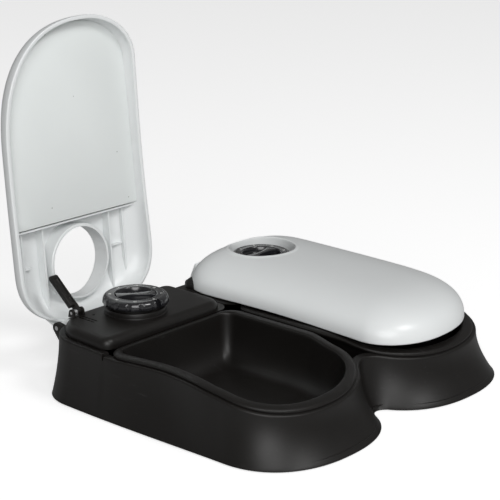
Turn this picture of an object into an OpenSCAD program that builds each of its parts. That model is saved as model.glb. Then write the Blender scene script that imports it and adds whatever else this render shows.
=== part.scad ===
// Two-meal timer pet feeder: a black tub with two bowls and two hinged lids.
// Frame: +X across the two bowls, -Y towards the bowls' front, +Z up.
// The origin lies on the resting plane, at the middle of the whole product.

/* [Tub] */
// Half of the tub's width at the floor, behind the bowls
tub_half_w = 138; // [134:1:144]
// How far the tub's back edge stands behind the origin
tub_back = 97; // [92:1:102]
// Distance from the middle plane to the middle of each lobe
lobe_x = 68.25; // [66:0.25:72]
// Height of the tub's rim round the timers
rim_back_z = 45; // [42:1:50]
// Height of the tub's rim under the front of the bowls
rim_front_z = 31; // [30:0.5:36]
// Thickness of the tub's walls
tub_wall = 3; // [2.5:0.5:4]
// Width of the flat ledge on top of the tub's walls
ledge_w = 6.5; // [5.5:0.5:7]
// Thickness of the tub's floor
floor_t = 3; // [2.5:0.5:4]

/* [Front lobes] */
// Distance from the origin forward to the middle of the bowl lobes
lobe_y = 84; // [80:1:88]
// Half width of a lobe at the floor
lobe_a = 67; // [64:1:68]
// Half depth of a lobe at the floor
lobe_b = 56; // [52:1:60]
// Half width of a lobe at the rim
lobe_rim_a = 60; // [56:0.5:62]
// Half depth of a lobe at the rim
lobe_rim_b = 48; // [45:1:52]
// How far the waist between bowl and timer is drawn in at the rim
waist_in = 6; // [3:0.5:9]

/* [Bowls] */
// Height of a bowl's flange above the tub's rim below it
flange_t = 2.8; // [2.2:0.1:3]
// Wall thickness of a bowl
bowl_wall = 2; // [1.5:0.25:2.5]
// Distance from the bowl's outer lip to its mouth at the sides
flange_w = 8; // [7:0.5:11]
// Height of the inside of a bowl's floor
bowl_floor_z = 9; // [8:1:14]
// Place of the bowls' back edge, behind the origin
bowl_back = 29.5; // [24:0.5:29.5]

/* [Timer covers] */
// Place of a cover's front wall, behind the origin
cover_front = 30; // [30:0.5:33]
// Height of a cover's flat top
cover_top_z = 53.5; // [51:0.5:56]
// Rounding of a cover's top edges
cover_round = 6; // [3:0.5:7]
// Wall thickness of a cover
cover_wall = 2.4; // [2:0.2:3]

/* [Dials] */
// Place of the dials behind the origin
dial_y = 61; // [58:1:64]
// Radius of a dial's skirt
dial_r = 24; // [22:0.5:24.5]
// Height of a dial's top face
dial_top_z = 66.5; // [64:0.5:69]
// Height of a dial's skirt
dial_skirt_h = 6.6; // [5:0.2:8]
// Angle that the right dial is set to
right_setting = 150; // [60:5:300]

/* [Lids] */
// Length of a lid from back to front
lid_len = 220; // [214:1:226]
// Half width of a lid at its back
lid_back_w = 65; // [62:0.5:66]
// Height of a lid's dome above its rim
lid_dome = 25.5; // [22:0.5:30]
// Wall thickness of a lid
lid_wall = 2.2; // [1.8:0.2:3]
// Height of a closed lid's rim
lid_rim_z = 46.8; // [46.8:0.2:50]
// Radius of the hole that the dial stands in
lid_hole_r = 26; // [25.8:0.2:27]
// Angle through which a lid swings open
lid_swing = 95.4; // [80:0.2:110]
// Angle by which a closed lid leans down to the front
lid_lean = 0.8; // [0.4:0.1:1]
// Place of the lids' hinge pins behind the origin
hinge_y = 99.4; // [98:0.2:102]
// Height of the lids' hinge pins
hinge_z = 41.6; // [40:0.2:42]
// Radius of the lids' hinge pins
hinge_pin_r = 1.6; // [1.2:0.1:1.8]

/* [Lift arms] */
// Distance of a lift arm from the middle of its lobe, outwards
arm_off = 36.5; // [35:0.5:40]
// Place of the arms' pivots behind the origin
arm_y = 84; // [80:0.5:85]
// Length of an arm from its pivot to its tip
arm_len = 33; // [28:1:36]
// Width of an arm
arm_w = 6.3; // [5:0.1:7]
// Angle through which an arm swings
arm_swing = 140; // [120:1:150]

/* [Battery and feet] */
// Length of the battery
cell_len = 50.5; // [50:0.5:51]
// Radius of the battery
cell_r = 7.1; // [7:0.05:7.25]
// Radius of a rubber foot
foot_r = 6; // [4:0.5:8]
// Gap between the tub's skirt and the surface it stands on
skirt_gap = 0.6; // [0.4:0.1:1]

/* [Hidden] */
$fn = 48;

black = [0.06, 0.06, 0.06];
grey_white = [0.86, 0.88, 0.88];
steel = [0.72, 0.72, 0.74];

// Small gap between pieces that rest on each other
seat_gap = 0.2;
// Radial clearance of a pin in its hole
pin_play = 0.05;

// Steps along the stretches of an outline
corner_n = 7;
side_n = 9;
front_n = 20;
web_n = 3;

// Exponents of the lobes' front curves at the floor and at the rim
floor_power = 2.3;
rim_power = 2.35;
rim_power_in = 2;
// Place of the rim lobes' inner side, from the middle plane
rim_inner_x = 3;
// Corner radius at the tub's back, at the floor and at the rim
back_r = 34;
back_rim_r = 31;
// Inset of the rim from the floor outline, at the sides and at the back
rim_side_in = 8.5;
rim_back_in = 2;
// Distance that the rim's lobes lie behind the floor's lobes
rim_lobe_back = 8.7;
// Half width of the rounded web in the cleft between the lobes
web_floor = 7;
web_rim = 17;
// Depth of the rounding in that cleft
web_round_floor = 4;
web_round_rim = 10;
// Outward swell of the sides between the back corners and the lobes
swell_floor = 1;
swell_rim = 2.6;
// Middle and half length of the waist
waist_y = -21;
waist_len = 50;
// How the skirt's flare dies out towards the rim
flare_power = 1.9;

function mix(a, b, t) = a + (b - a) * t;
function smooth(t) = t * t * (3 - 2 * t);
function clamp01(t) = max(0, min(1, t));
function power(v, n) = sign(v) * pow(abs(v), 2 / n);
function super(cx, cy, a, b, n, t) = [cx + a * power(cos(t), n), cy + b * power(sin(t), n)];

// Height of the tub's rim at a place y: a step down at the bowls, then a slope down to the front
step_y = bowl_back + 0.2;
rim_mid_z = rim_back_z - 1.8;
slope_back = -47.5;
slope_front = -123;
slope_power = 1.5;
step_half = 0.4;
function rim_z(y) = y > step_y ? rim_back_z : rim_low_z(y);
function rim_low_z(y) =
    rim_mid_z - (rim_mid_z - rim_front_z) * pow(max(0, (slope_back - y) / (slope_back - slope_front)), slope_power);
function flange_z(y) = rim_low_z(y) + flange_t;

// Front curve of a lobe: two quarters that meet at its foremost point
function lobe_arc(a_out, a_in, b, n_out, n_in, yf, t) =
    t > -90 ? super(lobe_x, yf, a_out, b, n_out, t) : super(lobe_x, yf, a_in, b, n_in, t);

// One half of the tub's outline, from the middle of the back to the middle of the cleft
function tub_half(a_out, a_in, b, n_out, n_in, yf, hw, yb, rc, swell, dip, web, web_round) =
    let (y0 = yb - rc,
         back = [for (i = [0 : 2]) [i * (hw - rc) / 3, yb]],
         corner = [for (i = [0 : corner_n]) [hw - rc + rc * sin(90 * i / corner_n), y0 + rc * cos(90 * i / corner_n)]],
         fx = lobe_x + a_out,
         side_a = [for (i = [1 : 3]) side_point(mix(y0, step_y + step_half, i / 3), y0, yf, hw, fx, swell, dip)],
         side_b = [for (i = [0 : side_n])
             side_point(mix(step_y - step_half, yf, i / (side_n + 1)), y0, yf, hw, fx, swell, dip)],
         // the front curve stops where the web begins
         reach = min(0.999, (lobe_x - web) / a_in),
         last = 180 - acos(pow(reach, n_in / 2)),
         front = [for (i = [0 : front_n]) lobe_arc(a_out, a_in, b, n_out, n_in, yf, -last * i / front_n)],
         tip = front[front_n],
         foot = [for (i = [1 : web_n]) let (s = 1 - i / web_n) [tip[0] * s, tip[1] + web_round * (1 - s * s)]])
    concat(back, corner, side_a, side_b, front, foot);
function side_point(y, y0, yf, hw, fx, swell, dip) =
    let (s = (y0 - y) / (y0 - yf), w = min(1, abs(y - waist_y) / waist_len))
    [mix(hw, fx, smooth(s)) + swell * sin(180 * s) - dip * pow(cos(90 * w), 2), y];

function mirrored(half) =
    concat(half, [for (i = [len(half) - 2 : -1 : 1]) [-half[i][0], half[i][1]]]);

function tub_floor_line(d) =
    mirrored(tub_half(lobe_a - d, lobe_a - d, lobe_b - d, floor_power, floor_power, -lobe_y,
                      tub_half_w - d, tub_back - d, back_r - d, swell_floor, 0, web_floor + d, web_round_floor));
function tub_rim_line(d) =
    mirrored(tub_half(lobe_rim_a - d, lobe_x - rim_inner_x - d, lobe_rim_b - d, rim_power, rim_power_in,
                      -lobe_y + rim_lobe_back, tub_half_w - rim_side_in - d, tub_back - rim_back_in - d,
                      back_rim_r - d, swell_rim, waist_in, web_rim + d / 2, web_round_rim));

// A ring of the tub's wall: s runs from the floor to the rim, d is the inset
function tub_ring(s, d) =
    let (low = tub_floor_line(d), high = tub_rim_line(d), w = pow(1 - s, flare_power))
    [for (i = [0 : len(low) - 1])
        [mix(high[i][0], low[i][0], w), mix(high[i][1], low[i][1], w),
         mix(skirt_gap, rim_z(high[i][1]), s)]];
function at_z(ring, z) = [for (p = ring) [p[0], p[1], z]];
function lowered(ring, dz) = [for (p = ring) [p[0], p[1], p[2] - dz]];

// A closed solid through a list of rings; each end is closed by a fan round its middle point
function middle(ring) = [for (c = [0 : 2]) let (v = [for (p = ring) p[c]]) total(v, len(v) - 1) / len(v)];
function total(v, i) = i < 0 ? 0 : v[i] + total(v, i - 1);
module skin(rings) {
    n = len(rings[0]);
    m = len(rings);
    pts = concat([for (r = rings) for (p = r) p], [middle(rings[0]), middle(rings[m - 1])]);
    walls = [for (j = [0 : m - 2]) for (i = [0 : n - 1]) let (k = (i + 1) % n)
        each [[j * n + i, j * n + k, (j + 1) * n + i], [j * n + k, (j + 1) * n + k, (j + 1) * n + i]]];
    first = [for (i = [0 : n - 1]) [m * n, (i + 1) % n, i]];
    last = [for (i = [0 : n - 1]) [m * n + 1, (m - 1) * n + i, (m - 1) * n + (i + 1) % n]];
    polyhedron(points = pts, faces = concat(first, walls, last), convexity = 10);
}

// Moves a piece of the right half to its place: right as it is, left mirrored
module side(left) {
    if (left) mirror([1, 0, 0]) children();
    else children();
}
// Swings a piece of a closed lid open by an angle
module swung(angle) {
    translate([0, hinge_y, hinge_z]) rotate([-angle, 0, 0]) translate([0, -hinge_y, -hinge_z]) children();
}
// A solid round bar along X
module bar_x(x0, x1, y, z, r) {
    translate([x0, y, z]) rotate([0, 90, 0]) cylinder(r = r, h = x1 - x0);
}
module post(x, y, z0, z1, r) {
    translate([x, y, z0]) cylinder(r = r, h = z1 - z0);
}
module block(x0, x1, y0, y1, z0, z1) {
    translate([x0, y0, z0]) cube([x1 - x0, y1 - y0, z1 - z0]);
}

// Levels of the tub's floor
foot_h = 4;
floor_z = foot_h;
floor_top = floor_z + floor_t;
ledge_t = 2.6;

// Hinge ears, at two places behind each lobe
hinge_off = 34;
lug_w = 9;
lug_r = 3.6;
ear_w = 4;
ear_r = 4.1;
lug_play = 0.35;
// How far an ear's foot reaches down the back wall, and how thick it is there
ear_foot_h = 12;
ear_foot_t = 3;

// Screws that hold the covers down
screw_r = 1.5;
screw_head_r = 3;
screw_head_h = 1.6;
post_r = 3.6;
post_split_z = 14;
screw_x = 40.5;
screw_front_y = 38;
screw_back_y = 84;

// Battery bay across the middle of the tub
bay_y = 58;
bay_wall = 2;
bay_h = 9;
bay_play = 0.6;
contact_room = 6;
cell_z = floor_z + 0.3 + cell_r;
bay_half_x = cell_len / 2 + contact_room;
bay_half_y = cell_r + bay_play;
door_t = 2;
door_half_x = bay_half_x + 3;
door_half_y = bay_half_y + 4;
door_play = 0.3;
door_top = floor_z - 0.2;
rail_w = 2;
rail_lip = 1.6;
// Finger grooves across the door
groove_half_w = 8;
groove_n = 5;
groove_pitch = 2;
groove_w = 1;
groove_depth = 0.6;
// Height of a rail below the door, and of its lip
rail_drop = 1.2;
rail_lip_t = 1;

module base_tub() color(black) {
    s_list = [0.12, 0.27, 0.45, 0.65, 0.85];
    rings = concat(
        [at_z(tub_ring(0, tub_wall), floor_z), at_z(tub_ring(0, tub_wall), skirt_gap), tub_ring(0, 0)],
        [for (s = s_list) tub_ring(s, 0)],
        [tub_ring(1, 0), tub_ring(1, ledge_w), lowered(tub_ring(1, ledge_w), ledge_t),
         lowered(tub_ring(1, tub_wall), ledge_t)],
        [tub_ring(0.6, tub_wall), tub_ring(0.35, tub_wall), at_z(tub_ring(0.14, tub_wall), floor_top)]);
    difference() {
        union() {
            skin(rings);
            for (m = [false, true]) side(m) {
                hinge_ears();
                for (y = [screw_front_y, screw_back_y]) post(screw_x, y, floor_top - 0.5, post_split_z, post_r);
            }
            // end walls and side walls of the battery bay
            for (s = [-1, 1]) {
                translate([s * (bay_half_x + bay_wall / 2), bay_y, floor_top + bay_h / 2 - 0.25])
                    cube([bay_wall, 2 * (bay_half_y + bay_wall), bay_h + 0.5], center = true);
                translate([0, bay_y + s * (bay_half_y + bay_wall / 2), floor_top + bay_h / 2 - 0.25])
                    cube([2 * bay_half_x, bay_wall, bay_h + 0.5], center = true);
                door_rail(s);
            }
        }
        block(-bay_half_x, bay_half_x, bay_y - bay_half_y, bay_y + bay_half_y, floor_z - 1, floor_top + 1);
        for (m = [-1, 1], y = [screw_front_y, screw_back_y])
            translate([m * screw_x, y, 0]) {
                cylinder(r = screw_r + pin_play, h = post_split_z + 1);
                cylinder(r = screw_head_r + 0.3, h = floor_z + screw_head_h);
            }
        for (m = [-1, 1]) hinge_bores(m);
    }
}

// Ears on the tub's back wall that hold one lid's two hinge pins
module hinge_ears() {
    for (h = [-1, 1], e = [-1, 1])
        translate([lobe_x + h * hinge_off + e * (lug_w / 2 + lug_play + ear_w / 2), 0, 0])
            translate([-ear_w / 2, 0, 0]) rotate([90, 0, 90]) linear_extrude(ear_w) ear_outline();
}
module ear_outline() {
    wall_y = tub_back - rim_back_in - ledge_w / 2;
    translate([hinge_y, hinge_z]) circle(r = ear_r);
    polygon([[hinge_y, hinge_z + ear_r], [wall_y, rim_back_z - 0.5], [wall_y, hinge_z - ear_foot_h],
             [wall_y + ear_foot_t, hinge_z - ear_foot_h], [hinge_y + ear_r * 0.8, hinge_z - ear_r * 0.6]]);
}
module hinge_bores(m) {
    for (h = [-1, 1]) {
        x = m * (lobe_x + h * hinge_off);
        w = lug_w / 2 + lug_play + ear_w + 1;
        bar_x(x - w, x + w, hinge_y, hinge_z, hinge_pin_r + pin_play);
    }
}

// One of the two rails that the battery door slides in
module door_rail(s) {
    x0 = door_half_x + door_play;
    len = 2 * door_half_y;
    translate([0, bay_y - len / 2, 0]) {
        translate([s > 0 ? x0 : -x0 - rail_w, 0, door_top - door_t - rail_drop])
            cube([rail_w, len, door_t + rail_drop + 0.4]);
        translate([s > 0 ? x0 - rail_lip : -x0, 0, door_top - door_t - rail_drop])
            cube([rail_lip, len, rail_lip_t]);
    }
}

module battery_door() color(black) {
    difference() {
        block(-door_half_x, door_half_x, bay_y - door_half_y, bay_y + door_half_y, door_top - door_t, door_top);
        // finger grooves across the door's front edge
        for (i = [0 : groove_n - 1]) let (y = bay_y - door_half_y + groove_pitch * (i + 1))
            block(-groove_half_w, groove_half_w, y, y + groove_w,
                  door_top - door_t - 1, door_top - door_t + groove_depth);
    }
}

// The battery's raised pole
pole_h = 1;
pole_r = 2.7;
module battery() {
    color([0.75, 0.55, 0.2]) {
        bar_x(-cell_len / 2, cell_len / 2 - pole_h, bay_y, cell_z, cell_r);
        bar_x(cell_len / 2 - pole_h - 0.5, cell_len / 2, bay_y, cell_z, pole_r);
    }
}

// A bent round wire through a list of points, each ring turned square to the path
function unit(v) = v / norm(v);
function wire_ring(pts, i, r, sides) =
    let (n = len(pts), t = unit(pts[min(i + 1, n - 1)] - pts[max(i - 1, 0)]),
         u = unit(cross(t, abs(t[0]) < 0.9 ? [1, 0, 0] : [0, 1, 0])), v = cross(t, u))
    [for (k = [0 : sides - 1]) pts[i] + r * (cos(-360 * k / sides) * u + sin(-360 * k / sides) * v)];
module wire(pts, r, sides = 6) skin([for (i = [0 : len(pts) - 1]) wire_ring(pts, i, r, sides)]);

coil_steps = 12;
contact_turns = 4;
contact_wire = 0.35;
// Radii of the contact spring's coil at its wide and its narrow end
contact_wide_r = 5;
contact_narrow_r = 2.5;
// The contacts' flat plates
plate_t = 0.6;
plate_half_w = 6;
plate_down = 5;
plate_up = 6;
module contact_spring() color(steel) {
    x0 = -bay_half_x + contact_wire + 0.9;
    x1 = -cell_len / 2 - contact_wire - 0.1;
    n = contact_turns * coil_steps;
    wire([for (i = [0 : n]) let (t = i / n, r = mix(contact_wide_r, contact_narrow_r, t))
        [mix(x0, x1, t), bay_y + r * cos(360 * i / coil_steps), cell_z + r * sin(360 * i / coil_steps)]],
        contact_wire);
    block(-bay_half_x, -bay_half_x + plate_t, bay_y - plate_half_w, bay_y + plate_half_w,
          cell_z - plate_down, cell_z + plate_up);
}
module contact_plate() color(steel) {
    block(bay_half_x - plate_t, bay_half_x, bay_y - plate_half_w, bay_y + plate_half_w,
          cell_z - plate_down, cell_z + plate_up);
    bar_x(cell_len / 2 + 0.1, bay_half_x - plate_t, bay_y, cell_z, pole_r - 0.5);
}

// Chamfer round a foot's underside
foot_edge = 0.8;
foot_spots = [[100, 70], [52, 84], [68, -100], [100, -40]];
module rubber_feet() color([0.1, 0.1, 0.1])
    for (m = [-1, 1], p = foot_spots) translate([m * p[0], p[1], 0]) {
        cylinder(r1 = foot_r - foot_edge, r2 = foot_r, h = foot_edge);
        translate([0, 0, foot_edge]) cylinder(r = foot_r, h = foot_h - foot_edge);
    }

// Screw length and the cross in its head
screw_len = 20;
cross_half = 2;
cross_w = 0.8;
cross_depth = 0.9;
module cover_screws() color(steel)
    for (m = [-1, 1], y = [screw_front_y, screw_back_y]) translate([m * screw_x, y, floor_z]) difference() {
        union() {
            cylinder(r = screw_head_r, h = screw_head_h - 0.05);
            cylinder(r = screw_r, h = screw_len);
        }
        for (a = [0, 90]) rotate([0, 0, a]) translate([-cross_half, -cross_w / 2, -1])
            cube([2 * cross_half, cross_w, 1 + cross_depth]);
    }

// Outline of a bowl: d is the inset from its outer lip, less at the back
lip_in = 2.5;
inner_gap = 1.2;
inner_y = -48;
bowl_corner = 13;
mouth_back = 3;
function rim_side_x(y) =
    side_point(y, tub_back - rim_back_in - back_rim_r, -lobe_y + rim_lobe_back, tub_half_w - rim_side_in,
               lobe_x + lobe_rim_a, swell_rim, waist_in)[0];
function bowl_back_in(d) = d < flange_w ? d * mouth_back / flange_w : d - flange_w + mouth_back;
function bowl_outer_x(y, d) = rim_side_x(y) - lip_in - d;
function bowl_inner_x(y, d) =
    let (yf = -lobe_y + rim_lobe_back)
    mix(inner_gap, rim_inner_x + lip_in, smooth(clamp01((inner_y - y) / (inner_y - yf)))) + d;
function bowl_line(d) =
    let (yb = bowl_back - bowl_back_in(d), yf = -lobe_y + rim_lobe_back, rc = max(5, bowl_corner - d / 2),
         xo = bowl_outer_x(yb - rc, d), xi = bowl_inner_x(yb - rc, d),
         back = [for (i = [1 : 3]) [mix(xi + rc, xo - rc, i / 4), yb]],
         c_out = [for (i = [0 : 5]) [xo - rc + rc * sin(18 * i), yb - rc + rc * cos(18 * i)]],
         s_out = [for (i = [1 : 7]) let (y = mix(yb - rc, yf, i / 8)) [bowl_outer_x(y, d), y]],
         front = [for (i = [0 : front_n])
             lobe_arc(lobe_rim_a - lip_in - d, lobe_x - rim_inner_x - lip_in - d, lobe_rim_b - lip_in - d,
                      rim_power, rim_power_in, yf, -180 * i / front_n)],
         s_in = [for (i = [7 : -1 : 1]) let (y = mix(yb - rc, yf, i / 8)) [bowl_inner_x(y, d), y]],
         c_in = [for (i = [0 : 5]) [xi + rc - rc * cos(18 * i), yb - rc + rc * sin(18 * i)]])
    concat(back, c_out, s_out, front, s_in, c_in);
function on_flange(line, dz) = [for (p = line) [p[0], p[1], flange_z(p[1]) + dz]];

module bowl() color(black) {
    under = -flange_t + seat_gap;
    mid_z = 24;
    skin([at_z(bowl_line(flange_w + 12), bowl_floor_z - bowl_wall),
          at_z(bowl_line(flange_w + 5), bowl_floor_z + 2),
          at_z(bowl_line(flange_w + 2 - bowl_wall), mid_z),
          on_flange(bowl_line(flange_w - bowl_wall), under),
          on_flange(bowl_line(0), under),
          on_flange(bowl_line(0), -1),
          on_flange(bowl_line(1), 0),
          on_flange(bowl_line(flange_w - 1.2), 0),
          on_flange(bowl_line(flange_w), -1.2),
          at_z(bowl_line(flange_w + 2.5), mid_z),
          at_z(bowl_line(flange_w + 6.5), bowl_floor_z + 4),
          at_z(bowl_line(flange_w + 12), bowl_floor_z)]);
}
module bowl_left() side(true) bowl();
module bowl_right() side(false) bowl();

// Outline of a timer cover: d is the inset, gap is its distance from the middle plane
cover_in = 4.6;
cover_gap = 7.6;
cover_lip_gap = 0.5;
cover_lip_t = 0.8;
// Corner radius towards the middle plane at the back: of the cover's wall, and of the low lip round it
cover_inner_r = 30;
cover_lip_r = 9;
// Its other corners: at the back outside, at the front outside and at the front towards the middle
cover_back_r = 27;
cover_front_r = 8;
cover_front_inner_r = 12;
// No corner of an inset outline is sharper than this
least_r = 0.6;
cover_z = rim_back_z + seat_gap;
function arc_corner(cx, cy, r, a0, a1, n) =
    [for (i = [0 : n]) let (t = mix(a0, a1, i / n)) [cx + r * sin(t), cy + r * cos(t)]];
function cover_line(d, gap = cover_gap, inner_r = cover_inner_r) =
    let (yb = tub_back - rim_back_in - cover_in - d, yf = cover_front + d, xi = gap + d,
         rb = cover_back_r - d, ro = max(least_r, cover_front_r - d),
         ri = max(least_r, cover_front_inner_r - d), rk = max(least_r, inner_r - d),
         xo = rim_side_x(yb - rb) - cover_in - d, xf = rim_side_x(yf + ro) - cover_in - d)
    concat([[mix(xi, xo, 0.3), yb], [mix(xi, xo, 0.55), yb]],
           arc_corner(xo - rb, yb - rb, rb, 0, 90, 7),
           [for (i = [1 : 3]) let (y = mix(yb - rb, yf + ro, i / 4)) [rim_side_x(y) - cover_in - d, y]],
           arc_corner(xf - ro, yf + ro, ro, 90, 180, 5),
           [[mix(xi, xo, 0.66), yf], [mix(xi, xo, 0.33), yf]],
           arc_corner(xi + ri, yf + ri, ri, 180, 270, 6),
           [for (t = [1 / 3, 2 / 3]) [xi, mix(yf + ri, yb - rk, t)]],
           arc_corner(xi + rk, yb - rk, rk, 270, 355, 6));

dial_collar_r = dial_r - 2.6;
dial_gap = 0.4;
dial_under_z = dial_top_z - dial_skirt_h;
spindle_r = 3;
arm_x = lobe_x + arm_off;
arm_z = cover_top_z + 2.9;
arm_pin_r = 1.1;
arm_t = 4.2;
arm_ear_w = 1.8;
arm_ear_r = 2.7;
arm_play = 0.3;
slit_w = 1.2;
slit_gap = 3.2;
// The slits run between these two distances in front of the arm's pivot
slit_near = 4;
slit_far = 20;
// Small hole beside the slits: its radius and its distance from the pivot
peep_r = 1.1;
peep_x = 9;
peep_y = 8;
// Clearance of the spindle in the cover
spindle_play = 0.3;

module timer_cover() color(black) {
    inner_top = cover_top_z - cover_wall;
    ceiling = at_z(cover_line(cover_round), inner_top);
    edge = [for (t = [22.5, 45, 67.5, 90])
        at_z(cover_line(cover_round * (1 - cos(t))), cover_top_z - cover_round + cover_round * sin(t))];
    difference() {
        union() {
            skin(concat([ceiling, at_z(cover_line(cover_wall), cover_top_z - cover_round),
                         at_z(cover_line(cover_wall), cover_z), at_z(cover_line(0, cover_lip_gap, cover_lip_r), cover_z),
                         at_z(cover_line(0, cover_lip_gap, cover_lip_r), cover_z + cover_lip_t),
                         at_z(cover_line(0), cover_z + cover_lip_t + 0.2),
                         at_z(cover_line(0), cover_top_z - cover_round)], edge));
            post(lobe_x, dial_y, inner_top, dial_under_z - dial_gap, dial_collar_r);
            for (y = [screw_front_y, screw_back_y])
                post(screw_x, y, post_split_z + seat_gap, inner_top + 0.5, post_r);
            for (e = [-1, 1]) arm_ear(e);
        }
        translate([lobe_x, dial_y, inner_top - 1]) cylinder(r = spindle_r + spindle_play, h = 30);
        // slits in front of the arm's foot, for its spring
        for (e = [-1, 1]) block(arm_x + e * slit_gap / 2 - slit_w / 2, arm_x + e * slit_gap / 2 + slit_w / 2,
                                arm_y - slit_far, arm_y - slit_near, inner_top - 1, cover_top_z + 1);
        // small hole beside the slits
        translate([arm_x - peep_x, arm_y - peep_y, inner_top - 1]) cylinder(r = peep_r, h = 6);
        for (y = [screw_front_y, screw_back_y])
            translate([screw_x, y, post_split_z - 1]) cylinder(r = screw_r + pin_play, h = 12);
        bar_x(arm_x - 8, arm_x + 8, arm_y, arm_z, arm_pin_r + pin_play);
    }
}
module arm_ear(e) {
    x = arm_x + e * (arm_w / 2 + arm_play + arm_ear_w / 2) - arm_ear_w / 2;
    bar_x(x, x + arm_ear_w, arm_y, arm_z, arm_ear_r);
    block(x, x + arm_ear_w, arm_y - arm_ear_r, arm_y + arm_ear_r, cover_top_z - 0.5, arm_z);
}
module timer_cover_left() side(true) timer_cover();
module timer_cover_right() side(false) timer_cover();

// Clockwork box under each cover, held up against its ceiling
move_half = 23;
move_h = 17;
// How much narrower the box is across, how much its top steps in, and how high that step is
move_narrow = 3;
move_step = 3;
move_step_h = 2;
move_chamfer = 4;
// Two short legs under it
leg_in = 5;
leg_y = 12;
leg_h = 3;
leg_r = 3;
module timer_movement() color([0.8, 0.8, 0.78]) {
    top = cover_top_z - cover_wall - seat_gap;
    difference() {
        union() {
            move_box(move_half, move_half - move_narrow, top - move_h, top - move_step_h);
            move_box(move_half - move_step, move_half - move_narrow - move_step, top - move_step_h, top);
            for (s = [-1, 1])
                post(lobe_x + s * (move_half - leg_in), dial_y - leg_y, top - move_h - leg_h, top - move_h + 0.5, leg_r);
        }
        translate([lobe_x, dial_y, top - move_h + 3]) cylinder(r = spindle_r + pin_play, h = move_h);
    }
}
module move_box(hx, hy, z0, z1) {
    translate([lobe_x, dial_y, z0]) linear_extrude(z1 - z0) difference() {
        square([2 * hx, 2 * hy], center = true);
        for (a = [-1, 1], b = [-1, 1]) translate([a * hx, b * hy]) rotate([0, 0, 45])
            square(move_chamfer, center = true);
    }
}
module timer_movement_left() side(true) timer_movement();
module timer_movement_right() side(false) timer_movement();

// Dial: a fluted skirt, a scale ring and a sunk well with a finger grip across it
scale_r = 20.4;
well_r = 15.2;
well_depth = 4;
flute_n = 16;
flute_w = 2.6;
notch_w = 4.4;
notch_depth = 3.4;
// The finger grip: how far it is turned, its width, and the arcs that draw in its flanks
grip_turn = 35;
grip_w = 9;
flank_r = 31.2;
flank_off = 33;
module dial() color(black) {
    h = dial_skirt_h;
    translate([lobe_x, dial_y, dial_under_z]) difference() {
        union() {
            rotate_extrude($fn = 96) polygon([[spindle_r, 0], [dial_r - 1, 0], [dial_r, 1], [dial_r - 0.3, h - 2.2],
                [dial_r - 1.6, h - 0.7], [scale_r, h - 0.1], [well_r + 1.2, h - 0.1], [well_r, h - 1],
                [well_r - 0.8, h - well_depth], [spindle_r, h - well_depth]]);
            rotate([0, 0, grip_turn]) translate([0, 0, h - well_depth - 0.2]) grip();
        }
        for (i = [0 : flute_n - 1]) rotate([0, 0, 360 * i / flute_n + 180 / flute_n])
            translate([0, -dial_r - 0.9, -1]) cylinder(r = flute_w / 2, h = h - 0.8, $fn = 24);
        translate([-notch_w / 2, -dial_r - 1, -1]) cube([notch_w, notch_depth + 1, h + 2]);
        translate([0, 0, -1]) cylinder(r = spindle_r, h = h - well_depth + 0.2);
    }
}
// The grip is a bar whose flanks are drawn in by two large arcs
module grip() {
    grip_h = well_depth - 0.2;
    linear_extrude(grip_h) difference() {
        intersection() {
            circle(r = well_r - 0.2);
            square([3 * well_r, grip_w], center = true);
        }
        for (s = [-1, 1]) translate([0, s * flank_off]) circle(r = flank_r, $fn = 96);
    }
}
module dial_turned(a) {
    translate([lobe_x, dial_y, 0]) rotate([0, 0, a]) translate([-lobe_x, -dial_y, 0]) dial();
}
module dial_left() side(true) dial();
module dial_right() side(false) dial_turned(right_setting);
module dial_spindle() color(steel) {
    h0 = cover_top_z - cover_wall - move_h + 4;
    post(lobe_x, dial_y, h0, dial_under_z + dial_skirt_h - well_depth - 0.9, spindle_r);
}
module dial_spindle_left() side(true) dial_spindle();
module dial_spindle_right() side(false) dial_spindle();

// Lift arm, drawn folded forward along the cover
channel_half_w = 1.5;
channel_depth = 0.8;
module lift_arm() color(black) {
    hub_w = arm_w / 2;
    neck = 6;
    difference() {
        union() {
            bar_x(arm_x - arm_w / 2, arm_x, arm_y, arm_z, arm_t / 2 + 0.2);
            block(arm_x - arm_w / 2, arm_x, arm_y - neck, arm_y, arm_z - arm_t / 2, arm_z + arm_t / 2);
            block(arm_x - arm_w / 2, arm_x + arm_w / 2, arm_y - arm_len + arm_t / 2, arm_y - neck + 1,
                  arm_z - arm_t / 2, arm_z + arm_t / 2);
            bar_x(arm_x - arm_w / 2, arm_x + arm_w / 2, arm_y - arm_len + arm_t / 2, arm_z, arm_t / 2);
        }
        bar_x(arm_x - hub_w - 1, arm_x + 1, arm_y, arm_z, arm_pin_r + pin_play);
        // channel along both faces
        for (z = [arm_z - arm_t / 2 - 1, arm_z + arm_t / 2 - channel_depth])
            block(arm_x - channel_half_w, arm_x + channel_half_w, arm_y - arm_len + 3.5, arm_y - neck - 1,
                  z, z + 1 + channel_depth);
    }
}
module arm_turned(a) {
    translate([0, arm_y, arm_z]) rotate([-a, 0, 0]) translate([0, -arm_y, -arm_z]) children();
}
module lift_arm_left() side(true) arm_turned(arm_swing) lift_arm();
module lift_arm_right() side(false) lift_arm();
module arm_pin() color(steel) {
    w = arm_w / 2 + arm_play + arm_ear_w;
    bar_x(arm_x - w, arm_x + w, arm_y, arm_z, arm_pin_r);
}
module arm_pin_left() side(true) arm_pin();
module arm_pin_right() side(false) arm_pin();

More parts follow.
